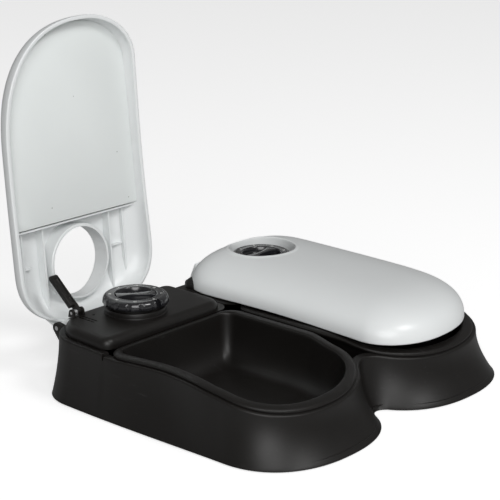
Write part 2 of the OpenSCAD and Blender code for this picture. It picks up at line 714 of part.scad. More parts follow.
// Torsion spring round the pin, beside the hub, with one leg down through the cover
arm_wire = 0.28;
arm_turns = 4;
module arm_spring() color(steel) {
    r = arm_pin_r + 0.35 + arm_wire;
    x0 = arm_x + 0.55;
    x1 = arm_x + arm_w / 2 - 0.15;
    n = arm_turns * coil_steps;
    coil = [for (i = [0 : n]) let (a = 180 - 360 * i / coil_steps)
        [mix(x0, x1, i / n), arm_y + r * cos(a), arm_z + r * sin(a)]];
    wire(concat([[x0, arm_y - r, cover_top_z + arm_wire + 0.1], [x0, arm_y - r, arm_z - 0.8]], coil), arm_wire);
}
module arm_spring_left() side(true) arm_spring();
module arm_spring_right() side(false) arm_spring();

// Outline of a lid, round its own spine: blunt at the inner front corner, long and round at the outer one
lid_x = lobe_x + 1;
lid_back = 100.6;
lid_front = lid_back - lid_len;
lid_back_b = 45;
lid_back_power = 2.6;
lid_inner_x = lid_x - lid_back_w;
lid_front_inner_x = lid_inner_x + 3;
lid_apex_x = 55;
lid_outer_b = 90;
lid_outer_power = 2.4;
lid_inner_b = 35;
lid_side_n = 7;
lid_end_n = 8;
lid_arch = 2.2;
dome_power = 2.5;
// The spine runs between these two places
spine_back = lid_back - 34;
spine_front = lid_front + 56;
lid_line =
    let (yb = lid_back - lid_back_b, yo = lid_front + lid_outer_b, yi = lid_front + lid_inner_b)
    concat([for (i = [0 : lid_end_n]) super(lid_x, yb, lid_back_w, lid_back_b, lid_back_power, 90 - 90 * i / lid_end_n)],
           [for (i = [1 : 2]) [lid_x + lid_back_w, mix(yb, yo, i / 3)]],
           [for (i = [0 : front_n / 2])
               super(lid_apex_x, yo, lid_x + lid_back_w - lid_apex_x, lid_outer_b, lid_outer_power, -180 * i / front_n)],
           [for (i = [1 : lid_end_n])
               super(lid_apex_x, yi, lid_apex_x - lid_front_inner_x, lid_inner_b, 2, -90 - 90 * i / lid_end_n)],
           [for (i = [lid_side_n - 1 : -1 : 1])
               let (t = i / lid_side_n) [mix(lid_inner_x, lid_front_inner_x, t), mix(yb, yi, t)]],
           [for (i = [0 : lid_end_n - 1])
               super(lid_x, yb, lid_back_w, lid_back_b, lid_back_power, 180 - 90 * i / lid_end_n)]);
function lid_rim(y) = lid_rim_z + lid_arch * pow(sin(180 * clamp01((lid_back - y) / lid_len)), 2);
function spine_y(p) = max(spine_front, min(spine_back, p[1]));
// Ring on a dome of height h, at share r, drawn in by the share k
function dome_ring(r, h, k) =
    [for (p = lid_line) let (sy = spine_y(p),
         w = pow(max(0, 1 - pow(r, dome_power)), 1 / dome_power))
        [mix(lid_x, p[0], r * k), mix(sy, p[1], r * k), mix(lid_rim(p[1]), lid_rim_z + h, w)]];
dome_steps = [0.2, 0.5, 0.72, 0.86, 0.95, 0.987, 1];
function thin(h) = (lid_back_w - h) / lid_back_w;

module dome_shell() {
    up = [for (r = dome_steps) dome_ring(r, lid_dome - lid_wall, thin(lid_wall))];
    down = [for (i = [len(dome_steps) - 1 : -1 : 0]) dome_ring(dome_steps[i], lid_dome, 1)];
    skin(concat(up, down));
}
module dome_core() {
    steps = [for (i = [len(dome_steps) - 1 : -1 : 0]) dome_steps[i]];
    skin([for (r = steps) dome_ring(r, lid_dome - lid_wall / 2, thin(lid_wall / 2))]);
}

collar_z = lid_rim_z + 10.8;
collar_t = 2.2;
rib_z = lid_rim_z + 14.5;
rib_t = 1.5;
liner_z = lid_rim_z + 9;
liner_back = 27;
module lid() color(grey_white) {
    difference() {
        union() {
            dome_shell();
            intersection() {
                dome_core();
                union() {
                    post(lobe_x, dial_y, collar_z, lid_rim_z + lid_dome, lid_hole_r + collar_t);
                    lid_ribs();
                }
            }
            lid_lugs();
        }
        translate([lobe_x, dial_y, lid_rim_z - 1]) cylinder(r = lid_hole_r, h = lid_dome + 10, $fn = 96);
        for (h = [-1, 1]) bar_x(lobe_x + h * hinge_off - lug_w, lobe_x + h * hinge_off + lug_w, hinge_y, hinge_z,
                                hinge_pin_r + pin_play);
    }
}
// Ribs of the lid's back part, beside and behind the collar: the long ones' places, and the cross ones' reach
rib_offs = [-48, -34, 31, 51];
cross_reach = 70;
cross_from = [34, 42];
cross_y = dial_y - 4;
module lid_ribs() {
    top = lid_rim_z + lid_dome;
    for (x = rib_offs) block(lobe_x + x - rib_t / 2, lobe_x + x + rib_t / 2, liner_back + 1, lid_back - 8, rib_z, top);
    block(lobe_x - cross_reach, lobe_x - cross_from[0], cross_y, cross_y + rib_t, rib_z + 2, top);
    block(lobe_x + cross_from[1], lobe_x + cross_reach, cross_y, cross_y + rib_t, rib_z + 2, top);
    block(lobe_x - cross_reach, lobe_x + cross_reach, liner_back + 1, liner_back + 1 + rib_t, liner_z + 2, top);
}
module lid_lugs() {
    for (h = [-1, 1]) {
        x = lobe_x + h * hinge_off;
        bar_x(x - lug_w / 2, x + lug_w / 2, hinge_y, hinge_z, lug_r);
        translate([x - lug_w / 2, 0, 0]) rotate([90, 0, 90]) linear_extrude(lug_w)
            polygon([[hinge_y - 1.5, hinge_z + lug_r - 1], [hinge_y - 1.5, lid_rim_z + 4], [hinge_y - 4, lid_rim_z + 9],
                     [hinge_y - 3, lid_rim_z + 12], [lid_back - 0.2, lid_rim_z + 3], [hinge_y + lug_r, hinge_z]]);
    }
}
module lid_left() side(true) swung(lid_swing - lid_lean) lid();
module lid_right() side(false) swung(-lid_lean) lid();

// Liner: a flat panel across the inside of the lid, over the bowl
liner_t = 1.6;
liner_gap = 0.3;
// Share of the way out at which the lid's inner wall stands at a height z
function wall_share(y, z) =
    let (rim = lid_rim(y), w = clamp01((z - rim) / (lid_rim_z + lid_dome - lid_wall - rim)))
    thin(lid_wall) * pow(1 - pow(w, dome_power), 1 / dome_power) - liner_gap / lid_back_w;
function liner_point(p, z) =
    let (k = wall_share(p[1], z)) [mix(lid_x, p[0], k), min(liner_back, mix(spine_y(p), p[1], k)), z];
function liner_ring(z) =
    let (part = [for (p = lid_line) if (p[1] < liner_back) p], n = len(part),
         a = liner_point(part[0], z), b = liner_point(part[n - 1], z))
    concat([[a[0], liner_back, z]], [for (p = part) liner_point(p, z)], [[b[0], liner_back, z]]);
module lid_liner() color(grey_white) skin([liner_ring(liner_z), liner_ring(liner_z + liner_t)]);
module lid_liner_left() side(true) swung(lid_swing - lid_lean) lid_liner();
module lid_liner_right() side(false) swung(-lid_lean) lid_liner();

// Hinge pins, fixed in the tub's ears
module lid_pins() color(steel)
    for (h = [-1, 1]) {
        w = lug_w / 2 + lug_play + ear_w;
        bar_x(lobe_x + h * hinge_off - w, lobe_x + h * hinge_off + w, hinge_y, hinge_z, hinge_pin_r);
    }
module lid_pins_left() side(true) lid_pins();
module lid_pins_right() side(false) lid_pins();

base_tub();
rubber_feet();
battery_door();
battery();
contact_spring();
contact_plate();
cover_screws();
bowl_left();
bowl_right();
timer_cover_left();
timer_cover_right();
timer_movement_left();
timer_movement_right();
dial_left();
dial_right();
dial_spindle_left();
dial_spindle_right();
lift_arm_left();
lift_arm_right();
arm_pin_left();
arm_pin_right();
arm_spring_left();
arm_spring_right();
lid_left();
lid_right();
lid_liner_left();
lid_liner_right();
lid_pins_left();
lid_pins_right();
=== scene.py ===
"""Dressed model of a two-meal timer pet feeder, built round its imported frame.

Shapes are worked out in millimetres for the right half of the feeder, then mirrored, swung
or turned to their places and brought to metres.
"""
import math

import bmesh
import bpy
import numpy as np
from bpy.props import FloatProperty, FloatVectorProperty, IntProperty, PointerProperty
from mathutils import Matrix, Vector
from mathutils.bvhtree import BVHTree


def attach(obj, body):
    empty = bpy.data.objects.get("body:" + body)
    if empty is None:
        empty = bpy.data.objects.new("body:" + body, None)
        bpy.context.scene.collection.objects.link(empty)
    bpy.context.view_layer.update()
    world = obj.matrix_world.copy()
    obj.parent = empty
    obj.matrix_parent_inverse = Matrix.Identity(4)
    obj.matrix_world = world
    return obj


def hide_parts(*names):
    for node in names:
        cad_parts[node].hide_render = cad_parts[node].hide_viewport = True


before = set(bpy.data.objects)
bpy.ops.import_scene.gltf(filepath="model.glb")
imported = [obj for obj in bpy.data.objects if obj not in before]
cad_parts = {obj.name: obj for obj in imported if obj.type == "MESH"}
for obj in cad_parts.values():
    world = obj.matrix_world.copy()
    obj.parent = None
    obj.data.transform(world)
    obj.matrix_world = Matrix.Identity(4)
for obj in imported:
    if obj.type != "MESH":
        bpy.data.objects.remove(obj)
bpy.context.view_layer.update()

bl_info = {
    "name": "Two-meal timer pet feeder",
    "version": (1, 0, 0),
    "blender": (4, 5, 0),
    "location": "View3D > Sidebar > Feeder",
    "description": "Builds the pieces, finishes and stage of a two-bowl timer feeder",
    "category": "Object",
}

MM = 0.001

# ---------------------------------------------------------------- sizes shared with the frame
TUB_HALF_W, TUB_BACK, LOBE_X = 138.0, 97.0, 68.25
RIM_BACK_Z, RIM_FRONT_Z, TUB_WALL, LEDGE_W, FLOOR_T = 45.0, 31.0, 3.0, 6.5, 3.0
LOBE_Y, LOBE_A, LOBE_B, LOBE_RIM_A, LOBE_RIM_B, WAIST_IN = 84.0, 67.0, 56.0, 60.0, 48.0, 6.0
FLANGE_T, BOWL_WALL, FLANGE_W, BOWL_FLOOR_Z, BOWL_BACK = 2.8, 2.0, 8.0, 9.0, 29.5
COVER_FRONT, COVER_TOP_Z, COVER_ROUND, COVER_WALL = 30.0, 53.5, 6.0, 2.4
DIAL_Y, DIAL_R, DIAL_TOP_Z, DIAL_SKIRT_H, RIGHT_SETTING = 61.0, 24.0, 66.5, 6.6, 150.0
LID_LEN, LID_BACK_W, LID_DOME, LID_WALL, LID_RIM_Z = 220.0, 65.0, 25.5, 2.2, 46.8
LID_HOLE_R, LID_SWING, LID_LEAN = 26.0, 95.4, 0.8
HINGE_Y, HINGE_Z, HINGE_PIN_R = 99.4, 41.6, 1.6
ARM_OFF, ARM_Y, ARM_LEN, ARM_W, ARM_SWING = 36.5, 84.0, 33.0, 6.3, 140.0
SKIRT_GAP, FOOT_H = 0.6, 4.0
SEAT_GAP = 0.2
FLOOR_POWER, RIM_POWER, RIM_POWER_IN, RIM_INNER_X = 2.3, 2.35, 2.0, 3.0
BACK_R, BACK_RIM_R, RIM_SIDE_IN, RIM_BACK_IN, RIM_LOBE_BACK = 34.0, 31.0, 8.5, 2.0, 8.7
WEB_FLOOR, WEB_RIM, WEB_ROUND_FLOOR, WEB_ROUND_RIM = 7.0, 17.0, 4.0, 10.0
SWELL_FLOOR, SWELL_RIM, WAIST_Y, WAIST_LEN, FLARE_POWER = 1.0, 2.6, -21.0, 50.0, 1.9
STEP_Y, STEP_HALF = BOWL_BACK + 0.2, 0.4
RIM_MID_Z, SLOPE_BACK, SLOPE_FRONT, SLOPE_POWER = RIM_BACK_Z - 1.8, -47.5, -123.0, 1.5
FLOOR_Z = FOOT_H
FLOOR_TOP = FLOOR_Z + FLOOR_T
LEDGE_T = 2.6
HINGE_OFF, LUG_W, LUG_R, EAR_W, EAR_R, LUG_PLAY = 34.0, 9.0, 3.6, 4.0, 4.1, 0.35
SCREW_X, SCREW_YS, SCREW_R, SCREW_HEAD_R, SCREW_HEAD_H = 40.5, (38.0, 84.0), 1.5, 3.0, 1.6
POST_R, POST_SPLIT_Z = 3.6, 14.0
BAY_Y, BAY_WALL, BAY_H = 58.0, 2.0, 9.0
BAY_HALF_X, BAY_HALF_Y = 31.25, 7.7
DOOR_HALF_X, DOOR_HALF_Y, DOOR_T, DOOR_PLAY = 34.25, 11.7, 2.0, 0.3
DOOR_TOP, RAIL_W, RAIL_LIP = FLOOR_Z - 0.2, 2.0, 1.6
LIP_IN, INNER_GAP, INNER_Y, BOWL_CORNER, MOUTH_BACK = 2.5, 1.2, -48.0, 13.0, 3.0
COVER_IN, COVER_GAP, COVER_LIP_GAP, COVER_LIP_T = 4.6, 7.6, 0.5, 0.8
COVER_Z = RIM_BACK_Z + SEAT_GAP
DIAL_UNDER_Z = DIAL_TOP_Z - DIAL_SKIRT_H
SPINDLE_R = 3.0
ARM_X, ARM_Z, ARM_PIN_R, ARM_T = LOBE_X + ARM_OFF, COVER_TOP_Z + 2.9, 1.1, 4.2
ARM_EAR_W, ARM_EAR_R, ARM_PLAY = 1.8, 2.7, 0.3
SLIT_W, SLIT_GAP = 1.2, 3.2
SCALE_R, WELL_R, WELL_DEPTH, FLUTE_N = 20.4, 15.2, 4.0, 16
NOTCH_W, NOTCH_DEPTH, GRIP_TURN = 4.4, 3.4, 35.0
LID_X = LOBE_X + 1
LID_BACK = 100.6
LID_FRONT = LID_BACK - LID_LEN
LID_BACK_B, LID_BACK_POWER = 45.0, 2.6
LID_INNER_X = LID_X - LID_BACK_W
LID_FRONT_INNER_X, LID_APEX_X = LID_INNER_X + 3, 55.0
LID_OUTER_B, LID_OUTER_POWER, LID_INNER_B = 90.0, 2.4, 35.0
LID_ARCH, DOME_POWER = 2.2, 2.5
SPINE_BACK, SPINE_FRONT = LID_BACK - 34, LID_FRONT + 56
COLLAR_Z, COLLAR_T, RIB_Z, RIB_T = LID_RIM_Z + 10.8, 2.2, LID_RIM_Z + 14.5, 1.5
LINER_Z, LINER_BACK, LINER_T, LINER_GAP = LID_RIM_Z + 9, 27.0, 1.6, 0.3

# Steps along the stretches of an outline
BACK_N, CORNER_N, SIDE_N, FRONT_N, WEB_N = 10, 18, 26, 72, 12


# ---------------------------------------------------------------- curves and outlines
def mix(a, b, t):
    return a + (b - a) * t


def smooth(t):
    return t * t * (3 - 2 * t)


def clamp01(t):
    return min(1.0, max(0.0, t))


def power(v, n):
    return math.copysign(abs(v) ** (2 / n), v)


def superpoint(cx, cy, a, b, n, deg):
    t = math.radians(deg)
    return cx + a * power(math.cos(t), n), cy + b * power(math.sin(t), n)


def rim_low_z(y):
    fall = max(0.0, (SLOPE_BACK - y) / (SLOPE_BACK - SLOPE_FRONT))
    return RIM_MID_Z - (RIM_MID_Z - RIM_FRONT_Z) * fall ** SLOPE_POWER


def rim_z(y):
    return RIM_BACK_Z if y > STEP_Y else rim_low_z(y)


def flange_z(y):
    return rim_low_z(y) + FLANGE_T


def lobe_arc(a_out, a_in, b, n_out, n_in, yf, deg):
    if deg > -90:
        return superpoint(LOBE_X, yf, a_out, b, n_out, deg)
    return superpoint(LOBE_X, yf, a_in, b, n_in, deg)


def side_point(y, y0, yf, hw, fx, swell, dip):
    s = (y0 - y) / (y0 - yf)
    w = min(1.0, abs(y - WAIST_Y) / WAIST_LEN)
    x = mix(hw, fx, smooth(s)) + swell * math.sin(math.pi * s) - dip * math.cos(math.pi / 2 * w) ** 2
    return x, y


def tub_half(a_out, a_in, b, n_out, n_in, yf, hw, yb, rc, swell, dip, web, web_round):
    """Half of the tub's outline, from the middle of the back to the middle of the cleft."""
    y0, fx = yb - rc, LOBE_X + a_out
    out = [(i * (hw - rc) / BACK_N, yb) for i in range(BACK_N)]
    for i in range(CORNER_N + 1):
        t = math.pi / 2 * i / CORNER_N
        out.append((hw - rc + rc * math.sin(t), y0 + rc * math.cos(t)))
    for i in range(1, BACK_N + 1):
        out.append(side_point(mix(y0, STEP_Y + STEP_HALF, i / BACK_N), y0, yf, hw, fx, swell, dip))
    for i in range(SIDE_N + 1):
        out.append(side_point(mix(STEP_Y - STEP_HALF, yf, i / (SIDE_N + 1)), y0, yf, hw, fx, swell, dip))
    reach = min(0.999, (LOBE_X - web) / a_in)
    last = 180 - math.degrees(math.acos(reach ** (n_in / 2)))
    out += [lobe_arc(a_out, a_in, b, n_out, n_in, yf, -last * i / FRONT_N) for i in range(FRONT_N + 1)]
    tip = out[-1]
    for i in range(1, WEB_N + 1):
        s = 1 - i / WEB_N
        out.append((tip[0] * s, tip[1] + web_round * (1 - s * s)))
    return out


def mirrored(half):
    return np.array(half + [(-x, y) for x, y in half[-2:0:-1]])


def tub_floor_line(d):
    return mirrored(tub_half(LOBE_A - d, LOBE_A - d, LOBE_B - d, FLOOR_POWER, FLOOR_POWER, -LOBE_Y,
                             TUB_HALF_W - d, TUB_BACK - d, BACK_R - d, SWELL_FLOOR, 0,
                             WEB_FLOOR + d, WEB_ROUND_FLOOR))


def tub_rim_line(d):
    return mirrored(tub_half(LOBE_RIM_A - d, LOBE_X - RIM_INNER_X - d, LOBE_RIM_B - d, RIM_POWER,
                             RIM_POWER_IN, -LOBE_Y + RIM_LOBE_BACK, TUB_HALF_W - RIM_SIDE_IN - d,
                             TUB_BACK - RIM_BACK_IN - d, BACK_RIM_R - d, SWELL_RIM, WAIST_IN,
                             WEB_RIM + d / 2, WEB_ROUND_RIM))


def tub_ring(s, d, dz=0.0):
    """Ring of the tub's wall: s runs from the floor to the rim, d is the inset."""
    low, high, w = tub_floor_line(d), tub_rim_line(d), (1 - s) ** FLARE_POWER
    xy = mix(high, low, w)
    z = np.array([mix(SKIRT_GAP, rim_z(p[1]), s) for p in high]) + dz
    return np.column_stack([xy, z])


def at_z(line, z):
    line = np.asarray(line)
    return np.column_stack([line[:, 0], line[:, 1], np.full(len(line), float(z))])


def rim_side_x(y):
    return side_point(y, TUB_BACK - RIM_BACK_IN - BACK_RIM_R, -LOBE_Y + RIM_LOBE_BACK,
                      TUB_HALF_W - RIM_SIDE_IN, LOBE_X + LOBE_RIM_A, SWELL_RIM, WAIST_IN)[0]


def bowl_line(d):
    """Outline of a bowl at the inset d from its outer lip."""
    back_in = d * MOUTH_BACK / FLANGE_W if d < FLANGE_W else d - FLANGE_W + MOUTH_BACK
    yb, yf, rc = BOWL_BACK - back_in, -LOBE_Y + RIM_LOBE_BACK, max(5.0, BOWL_CORNER - d / 2)

    def outer(y):
        return rim_side_x(y) - LIP_IN - d

    def inner(y):
        t = smooth(clamp01((INNER_Y - y) / (INNER_Y - yf)))
        return mix(INNER_GAP, RIM_INNER_X + LIP_IN, t) + d

    xo, xi = outer(yb - rc), inner(yb - rc)
    out = [(mix(xi + rc, xo - rc, i / 12), yb) for i in range(1, 12)]
    for i in range(13):
        t = math.pi / 2 * i / 12
        out.append((xo - rc + rc * math.sin(t), yb - rc + rc * math.cos(t)))
    ys = [mix(yb - rc, yf, i / SIDE_N) for i in range(1, SIDE_N)]
    out += [(outer(y), y) for y in ys]
    out += [lobe_arc(LOBE_RIM_A - LIP_IN - d, LOBE_X - RIM_INNER_X - LIP_IN - d, LOBE_RIM_B - LIP_IN - d,
                     RIM_POWER, RIM_POWER_IN, yf, -180 * i / FRONT_N) for i in range(FRONT_N + 1)]
    out += [(inner(y), y) for y in reversed(ys)]
    for i in range(13):
        t = math.pi / 2 * i / 12
        out.append((xi + rc - rc * math.cos(t), yb - rc + rc * math.sin(t)))
    return np.array(out)


def arc_corner(cx, cy, r, a0, a1, n):
    return [(cx + r * math.sin(math.radians(mix(a0, a1, i / n))),
             cy + r * math.cos(math.radians(mix(a0, a1, i / n)))) for i in range(n + 1)]


def cover_line(d, gap=COVER_GAP):
    """Outline of a timer cover at the inset d; gap is its distance from the middle plane."""
    yb, yf, xi = TUB_BACK - RIM_BACK_IN - COVER_IN - d, COVER_FRONT + d, gap + d
    rb, ro, ri, rk = 27 - d, max(0.6, 8 - d), max(0.6, 12 - d), max(0.6, 9 - d)
    xo = rim_side_x(yb - rb) - COVER_IN - d
    xf = rim_side_x(yf + ro) - COVER_IN - d
    out = [(mix(xi, xo, t), yb) for t in np.linspace(0.15, 0.7, 8)]
    out += arc_corner(xo - rb, yb - rb, rb, 0, 90, 18)
    out += [(rim_side_x(y) - COVER_IN - d, y) for y in np.linspace(yb - rb, yf + ro, 10)[1:-1]]
    out += arc_corner(xf - ro, yf + ro, ro, 90, 180, 12)
    out += [(mix(xi, xo, t), yf) for t in np.linspace(0.86, 0.14, 14)]
    out += arc_corner(xi + ri, yf + ri, ri, 180, 270, 12)
    out += [(xi, y) for y in np.linspace(yf + ri + 3, yb - rk - 3, 8)]
    out += arc_corner(xi + rk, yb - rk, rk, 270, 355, 9)
    return np.array(out)


def lid_line():
    """Outline of a lid's rim, clockwise from the middle of its back."""
    yb, yo, yi = LID_BACK - LID_BACK_B, LID_FRONT + LID_OUTER_B, LID_FRONT + LID_INNER_B
    wide, n = LID_X + LID_BACK_W - LID_APEX_X, 30
    out = [superpoint(LID_X, yb, LID_BACK_W, LID_BACK_B, LID_BACK_POWER,
                      90 - 90 * i / n) for i in range(n + 1)]
    out += [(LID_X + LID_BACK_W, mix(yb, yo, i / 9)) for i in range(1, 9)]
    out += [superpoint(LID_APEX_X, yo, wide, LID_OUTER_B, LID_OUTER_POWER, -90 * i / 48) for i in range(49)]
    out += [superpoint(LID_APEX_X, yi, LID_APEX_X - LID_FRONT_INNER_X, LID_INNER_B, 2, -90 - 90 * i / 24)
            for i in range(1, 25)]
    out += [(mix(LID_INNER_X, LID_FRONT_INNER_X, i / 28), mix(yb, yi, i / 28)) for i in range(27, 0, -1)]
    out += [superpoint(LID_X, yb, LID_BACK_W, LID_BACK_B, LID_BACK_POWER, 180 - 90 * i / n) for i in range(n)]
    return np.array(out)


LID_OUTLINE = lid_line()


def lid_rim(y):
    return LID_RIM_Z + LID_ARCH * math.sin(math.pi * clamp01((LID_BACK - y) / LID_LEN)) ** 2


def dome_ring(angle, h, k, dz=0.0):
    """Ring on the lid's dome: angle runs from 0 at the top to 90 at the rim."""
    t = math.radians(angle)
    r, w = math.sin(t) ** (2 / DOME_POWER), max(0.0, math.cos(t)) ** (2 / DOME_POWER)
    if angle >= 90:
        r, w = 1.0, 0.0
    out = []
    for x, y in LID_OUTLINE:
        sy = max(SPINE_FRONT, min(SPINE_BACK, y))
        out.append((mix(LID_X, x, r * k), mix(sy, y, r * k), mix(lid_rim(y), LID_RIM_Z + h, w) + dz))
    return np.array(out)


def thin(h):
    return (LID_BACK_W - h) / LID_BACK_W


# ---------------------------------------------------------------- solids in millimetres
class Solid:
    """A closed mesh in millimetres, its faces turned outwards."""

    def __init__(self, verts, faces):
        self.v = np.asarray(verts, float)
        self.f = [tuple(q) for q in faces]
        if self.volume() < 0:
            self.f = [q[::-1] for q in self.f]

    def volume(self):
        total, v = 0.0, self.v - self.v.mean(0)
        for q in self.f:
            a = v[q[0]]
            for i in range(1, len(q) - 1):
                total += float(np.dot(a, np.cross(v[q[i]], v[q[i + 1]])))
        return total / 6


def loft(rings):
    m, n = len(rings), len(rings[0])
    faces = [(j * n + i, j * n + (i + 1) % n, (j + 1) * n + (i + 1) % n, (j + 1) * n + i)
             for j in range(m - 1) for i in range(n)]
    faces += [tuple(range(n))[::-1], tuple(range((m - 1) * n, m * n))]
    return Solid(np.vstack(rings), faces)


def hoop(rings):
    """A closed loop of rings, such as a bezel, with no ends."""
    m, n = len(rings), len(rings[0])
    faces = [(j * n + i, j * n + (i + 1) % n, (j + 1) % m * n + (i + 1) % n, (j + 1) % m * n + i)
             for j in range(m) for i in range(n)]
    return Solid(np.vstack(rings), faces)


def lathe(profile, cx, cy, n=96, reach=None):
    """Turns a profile of (radius, height) from the axis out and back to the axis."""
    rings = []
    for r, z in profile:
        ring = []
        for i in range(n):
            a = 2 * math.pi * i / n
            q = r if reach is None else reach(r, z, a)
            ring.append((cx + q * math.cos(a), cy + q * math.sin(a), z))
        rings.append(np.array(ring))
    return loft(rings)


def rod(cx, cy, r, z0, z1, n=48):
    return lathe([(r, z0), (r, z1)], cx, cy, n)


def rod_x(x0, x1, y, z, r, n=40, round_off=0.0):
    stops = [(x0, r)] if not round_off else [(x0, r - round_off), (x0 + round_off, r)]
    stops += [(x1, r)] if not round_off else [(x1 - round_off, r), (x1, r - round_off)]
    rings = []
    for x, q in stops:
        rings.append(np.array([(x, y + q * math.cos(2 * math.pi * i / n),
                                z + q * math.sin(2 * math.pi * i / n))
                               for i in range(n)]))
    return loft(rings)


def prism_x(outline, x0, x1):
    """Extrudes an outline of (y, z) along X."""
    return loft([np.array([(x, y, z) for y, z in outline]) for x in (x0, x1)])


def prism_z(outline, z0, z1):
    return loft([at_z(outline, z) for z in (z0, z1)])


def block(x0, x1, y0, y1, z0, z1):
    return prism_z([(x0, y0), (x1, y0), (x1, y1), (x0, y1)], z0, z1)


def rounded(solid, width, segments=2, angle=30):
    """The solid with the edges that turn by more than an angle rounded off."""
    bm = bmesh.new()
    verts = [bm.verts.new(p) for p in solid.v]
    for q in solid.f:
        bm.faces.new([verts[i] for i in q])
    bm.normal_update()
    edges = [e for e in bm.edges if e.is_manifold and e.calc_face_angle(0) > math.radians(angle)]
    bmesh.ops.bevel(bm, geom=edges, offset=width, segments=segments, profile=0.5, affect="EDGES",
                    clamp_overlap=True)
    bm.verts.index_update()
    out = Solid([v.co[:] for v in bm.verts], [[v.index for v in f.verts] for f in bm.faces])
    bm.free()
    return out


def mesh_of(name, solids):
    verts, faces = [], []
    for s in solids:
        n = len(verts)
        verts += [tuple(p) for p in s.v]
        faces += [tuple(i + n for i in q) for q in s.f]
    mesh = bpy.data.meshes.new(name)
    mesh.from_pydata(verts, [], faces)
    mesh.update()
    return mesh


def combine(mesh, steps):
    """Joins solids to a mesh or cuts them from it, in order."""
    base = bpy.data.objects.new("work", mesh)
    bpy.context.scene.collection.objects.link(base)
    helpers = []
    for kind, solid in steps:
        other = bpy.data.objects.new("tool", mesh_of("tool", [solid]))
        bpy.context.scene.collection.objects.link(other)
        other.hide_render = True
        helpers.append(other)
        mod = base.modifiers.new(kind, "BOOLEAN")
        mod.operation, mod.solver, mod.object = kind, "EXACT", other
    out = evaluated(base)
    for o in helpers:
        old = o.data
        bpy.data.objects.remove(o)
        bpy.data.meshes.remove(old)
    if not out.polygons:
        raise RuntimeError("a joined or cut piece came out empty")
    return out


def evaluated(obj):
    """The object's mesh with its modifiers worked in; the object itself is removed."""
    bpy.context.view_layer.update()
    graph = bpy.context.evaluated_depsgraph_get()
    out = bpy.data.meshes.new_from_object(obj.evaluated_get(graph))
    bpy.data.objects.remove(obj)
    return out


# ---------------------------------------------------------------- placing the pieces
def swung(points, angle, y0, z0):
    """Points turned about an axis along X by an angle, as the lids and arms are."""
    t = math.radians(angle)
    y, z = points[:, 1] - y0, points[:, 2] - z0
    return np.column_stack([points[:, 0], y0 + y * math.cos(t) - z * math.sin(t),
                            z0 + y * math.sin(t) + z * math.cos(t)])


def turned(points, angle, cx=LOBE_X, cy=DIAL_Y):
    t = math.radians(angle)
    x, y = points[:, 0] - cx, points[:, 1] - cy
    return np.column_stack([cx + x * math.cos(t) - y * math.sin(t),
                            cy + x * math.sin(t) + y * math.cos(t), points[:, 2]])


def lid_place(left):
    return lambda p: swung(p, -(LID_SWING - LID_LEAN) if left else LID_LEAN, HINGE_Y, HINGE_Z)


def put(name, mesh, material, body, nodes=(), left=False, place=None, sharp=35.0):
    """Makes a finished piece from a mesh in millimetres and hands it to the frame."""
    mesh = mesh.copy()
    mesh.name = name
    co = np.empty(len(mesh.vertices) * 3)
    mesh.vertices.foreach_get("co", co)
    co = co.reshape(-1, 3)
    if place:
        co = place(co)
    if left:
        co = co * np.array([-1.0, 1.0, 1.0])
    mesh.vertices.foreach_set("co", (co * MM).ravel())
    if left:
        mesh.flip_normals()
    mesh.materials.clear()
    mesh.materials.append(material)
    mesh.shade_smooth()
    mesh.set_sharp_from_angle(angle=math.radians(sharp))
    mesh.update()
    obj = bpy.data.objects.new(name, mesh)
    bpy.context.scene.collection.objects.link(obj)
    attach(obj, body)
    if nodes:
        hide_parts(*nodes)
    return obj


def both_sides(name, mesh, material, body, node, place=None, sharp=35.0):
    for side in ("left", "right"):
        put(f"{name}_{side}", mesh, material, body.format(side=side),
            (node.format(side=side),) if node else (),
            side == "left", place(side == "left") if place else None, sharp)


# ---------------------------------------------------------------- node helpers
def socket(group, name, direction, kind, value=None):
    s = group.interface.new_socket(name=name, in_out=direction, socket_type=kind)
    if value is not None:
        s.default_value = value
    return s


class Wiring:
    """Adds nodes to a tree and joins them up."""

    def __init__(self, tree):
        self.tree = tree

    def add(self, kind, inputs=None, **settings):
        node = self.tree.nodes.new(kind)
        for key, value in settings.items():
            setattr(node, key, value)
        for key, value in (inputs or {}).items():
            self.feed(node.inputs[key], value)
        return node

    def feed(self, target, value):
        if isinstance(value, bpy.types.NodeSocket):
            self.tree.links.new(value, target)
        else:
            target.default_value = value

    def math(self, operation, a, b=0.0, clamp=False):
        return self.add("ShaderNodeMath", {0: a, 1: b}, operation=operation, use_clamp=clamp).outputs[0]

    def remap(self, value, a, b, c, d):
        return self.add("ShaderNodeMapRange", {"Value": value, "From Min": a, "From Max": b,
                                               "To Min": c, "To Max": d}).outputs["Result"]

    def mix_colour(self, factor, a, b, kind="MIX"):
        node = self.tree.nodes.new("ShaderNodeMix")
        node.data_type, node.blend_type = "RGBA", kind
        for i, value in ((0, factor), (6, a), (7, b)):
            self.feed(node.inputs[i], value)
        return node.outputs[2]

    def noise(self, vector, scale, detail=3.0, roughness=0.5):
        return self.add("ShaderNodeTexNoise", {"Vector": vector, "Scale": scale, "Detail": detail,
                                               "Roughness": roughness}).outputs["Fac"]


def shader_group(name, inputs, outputs):
    group = bpy.data.node_groups.new(name, "ShaderNodeTree")
    for label, kind, value in inputs:
        socket(group, label, "INPUT", kind, value)
    for label, kind in outputs:
        socket(group, label, "OUTPUT", kind)
    w = Wiring(group)
    return group, w, w.add("NodeGroupInput").outputs, w.add("NodeGroupOutput").inputs


F, C, V = "NodeSocketFloat", "NodeSocketColor", "NodeSocketVector"


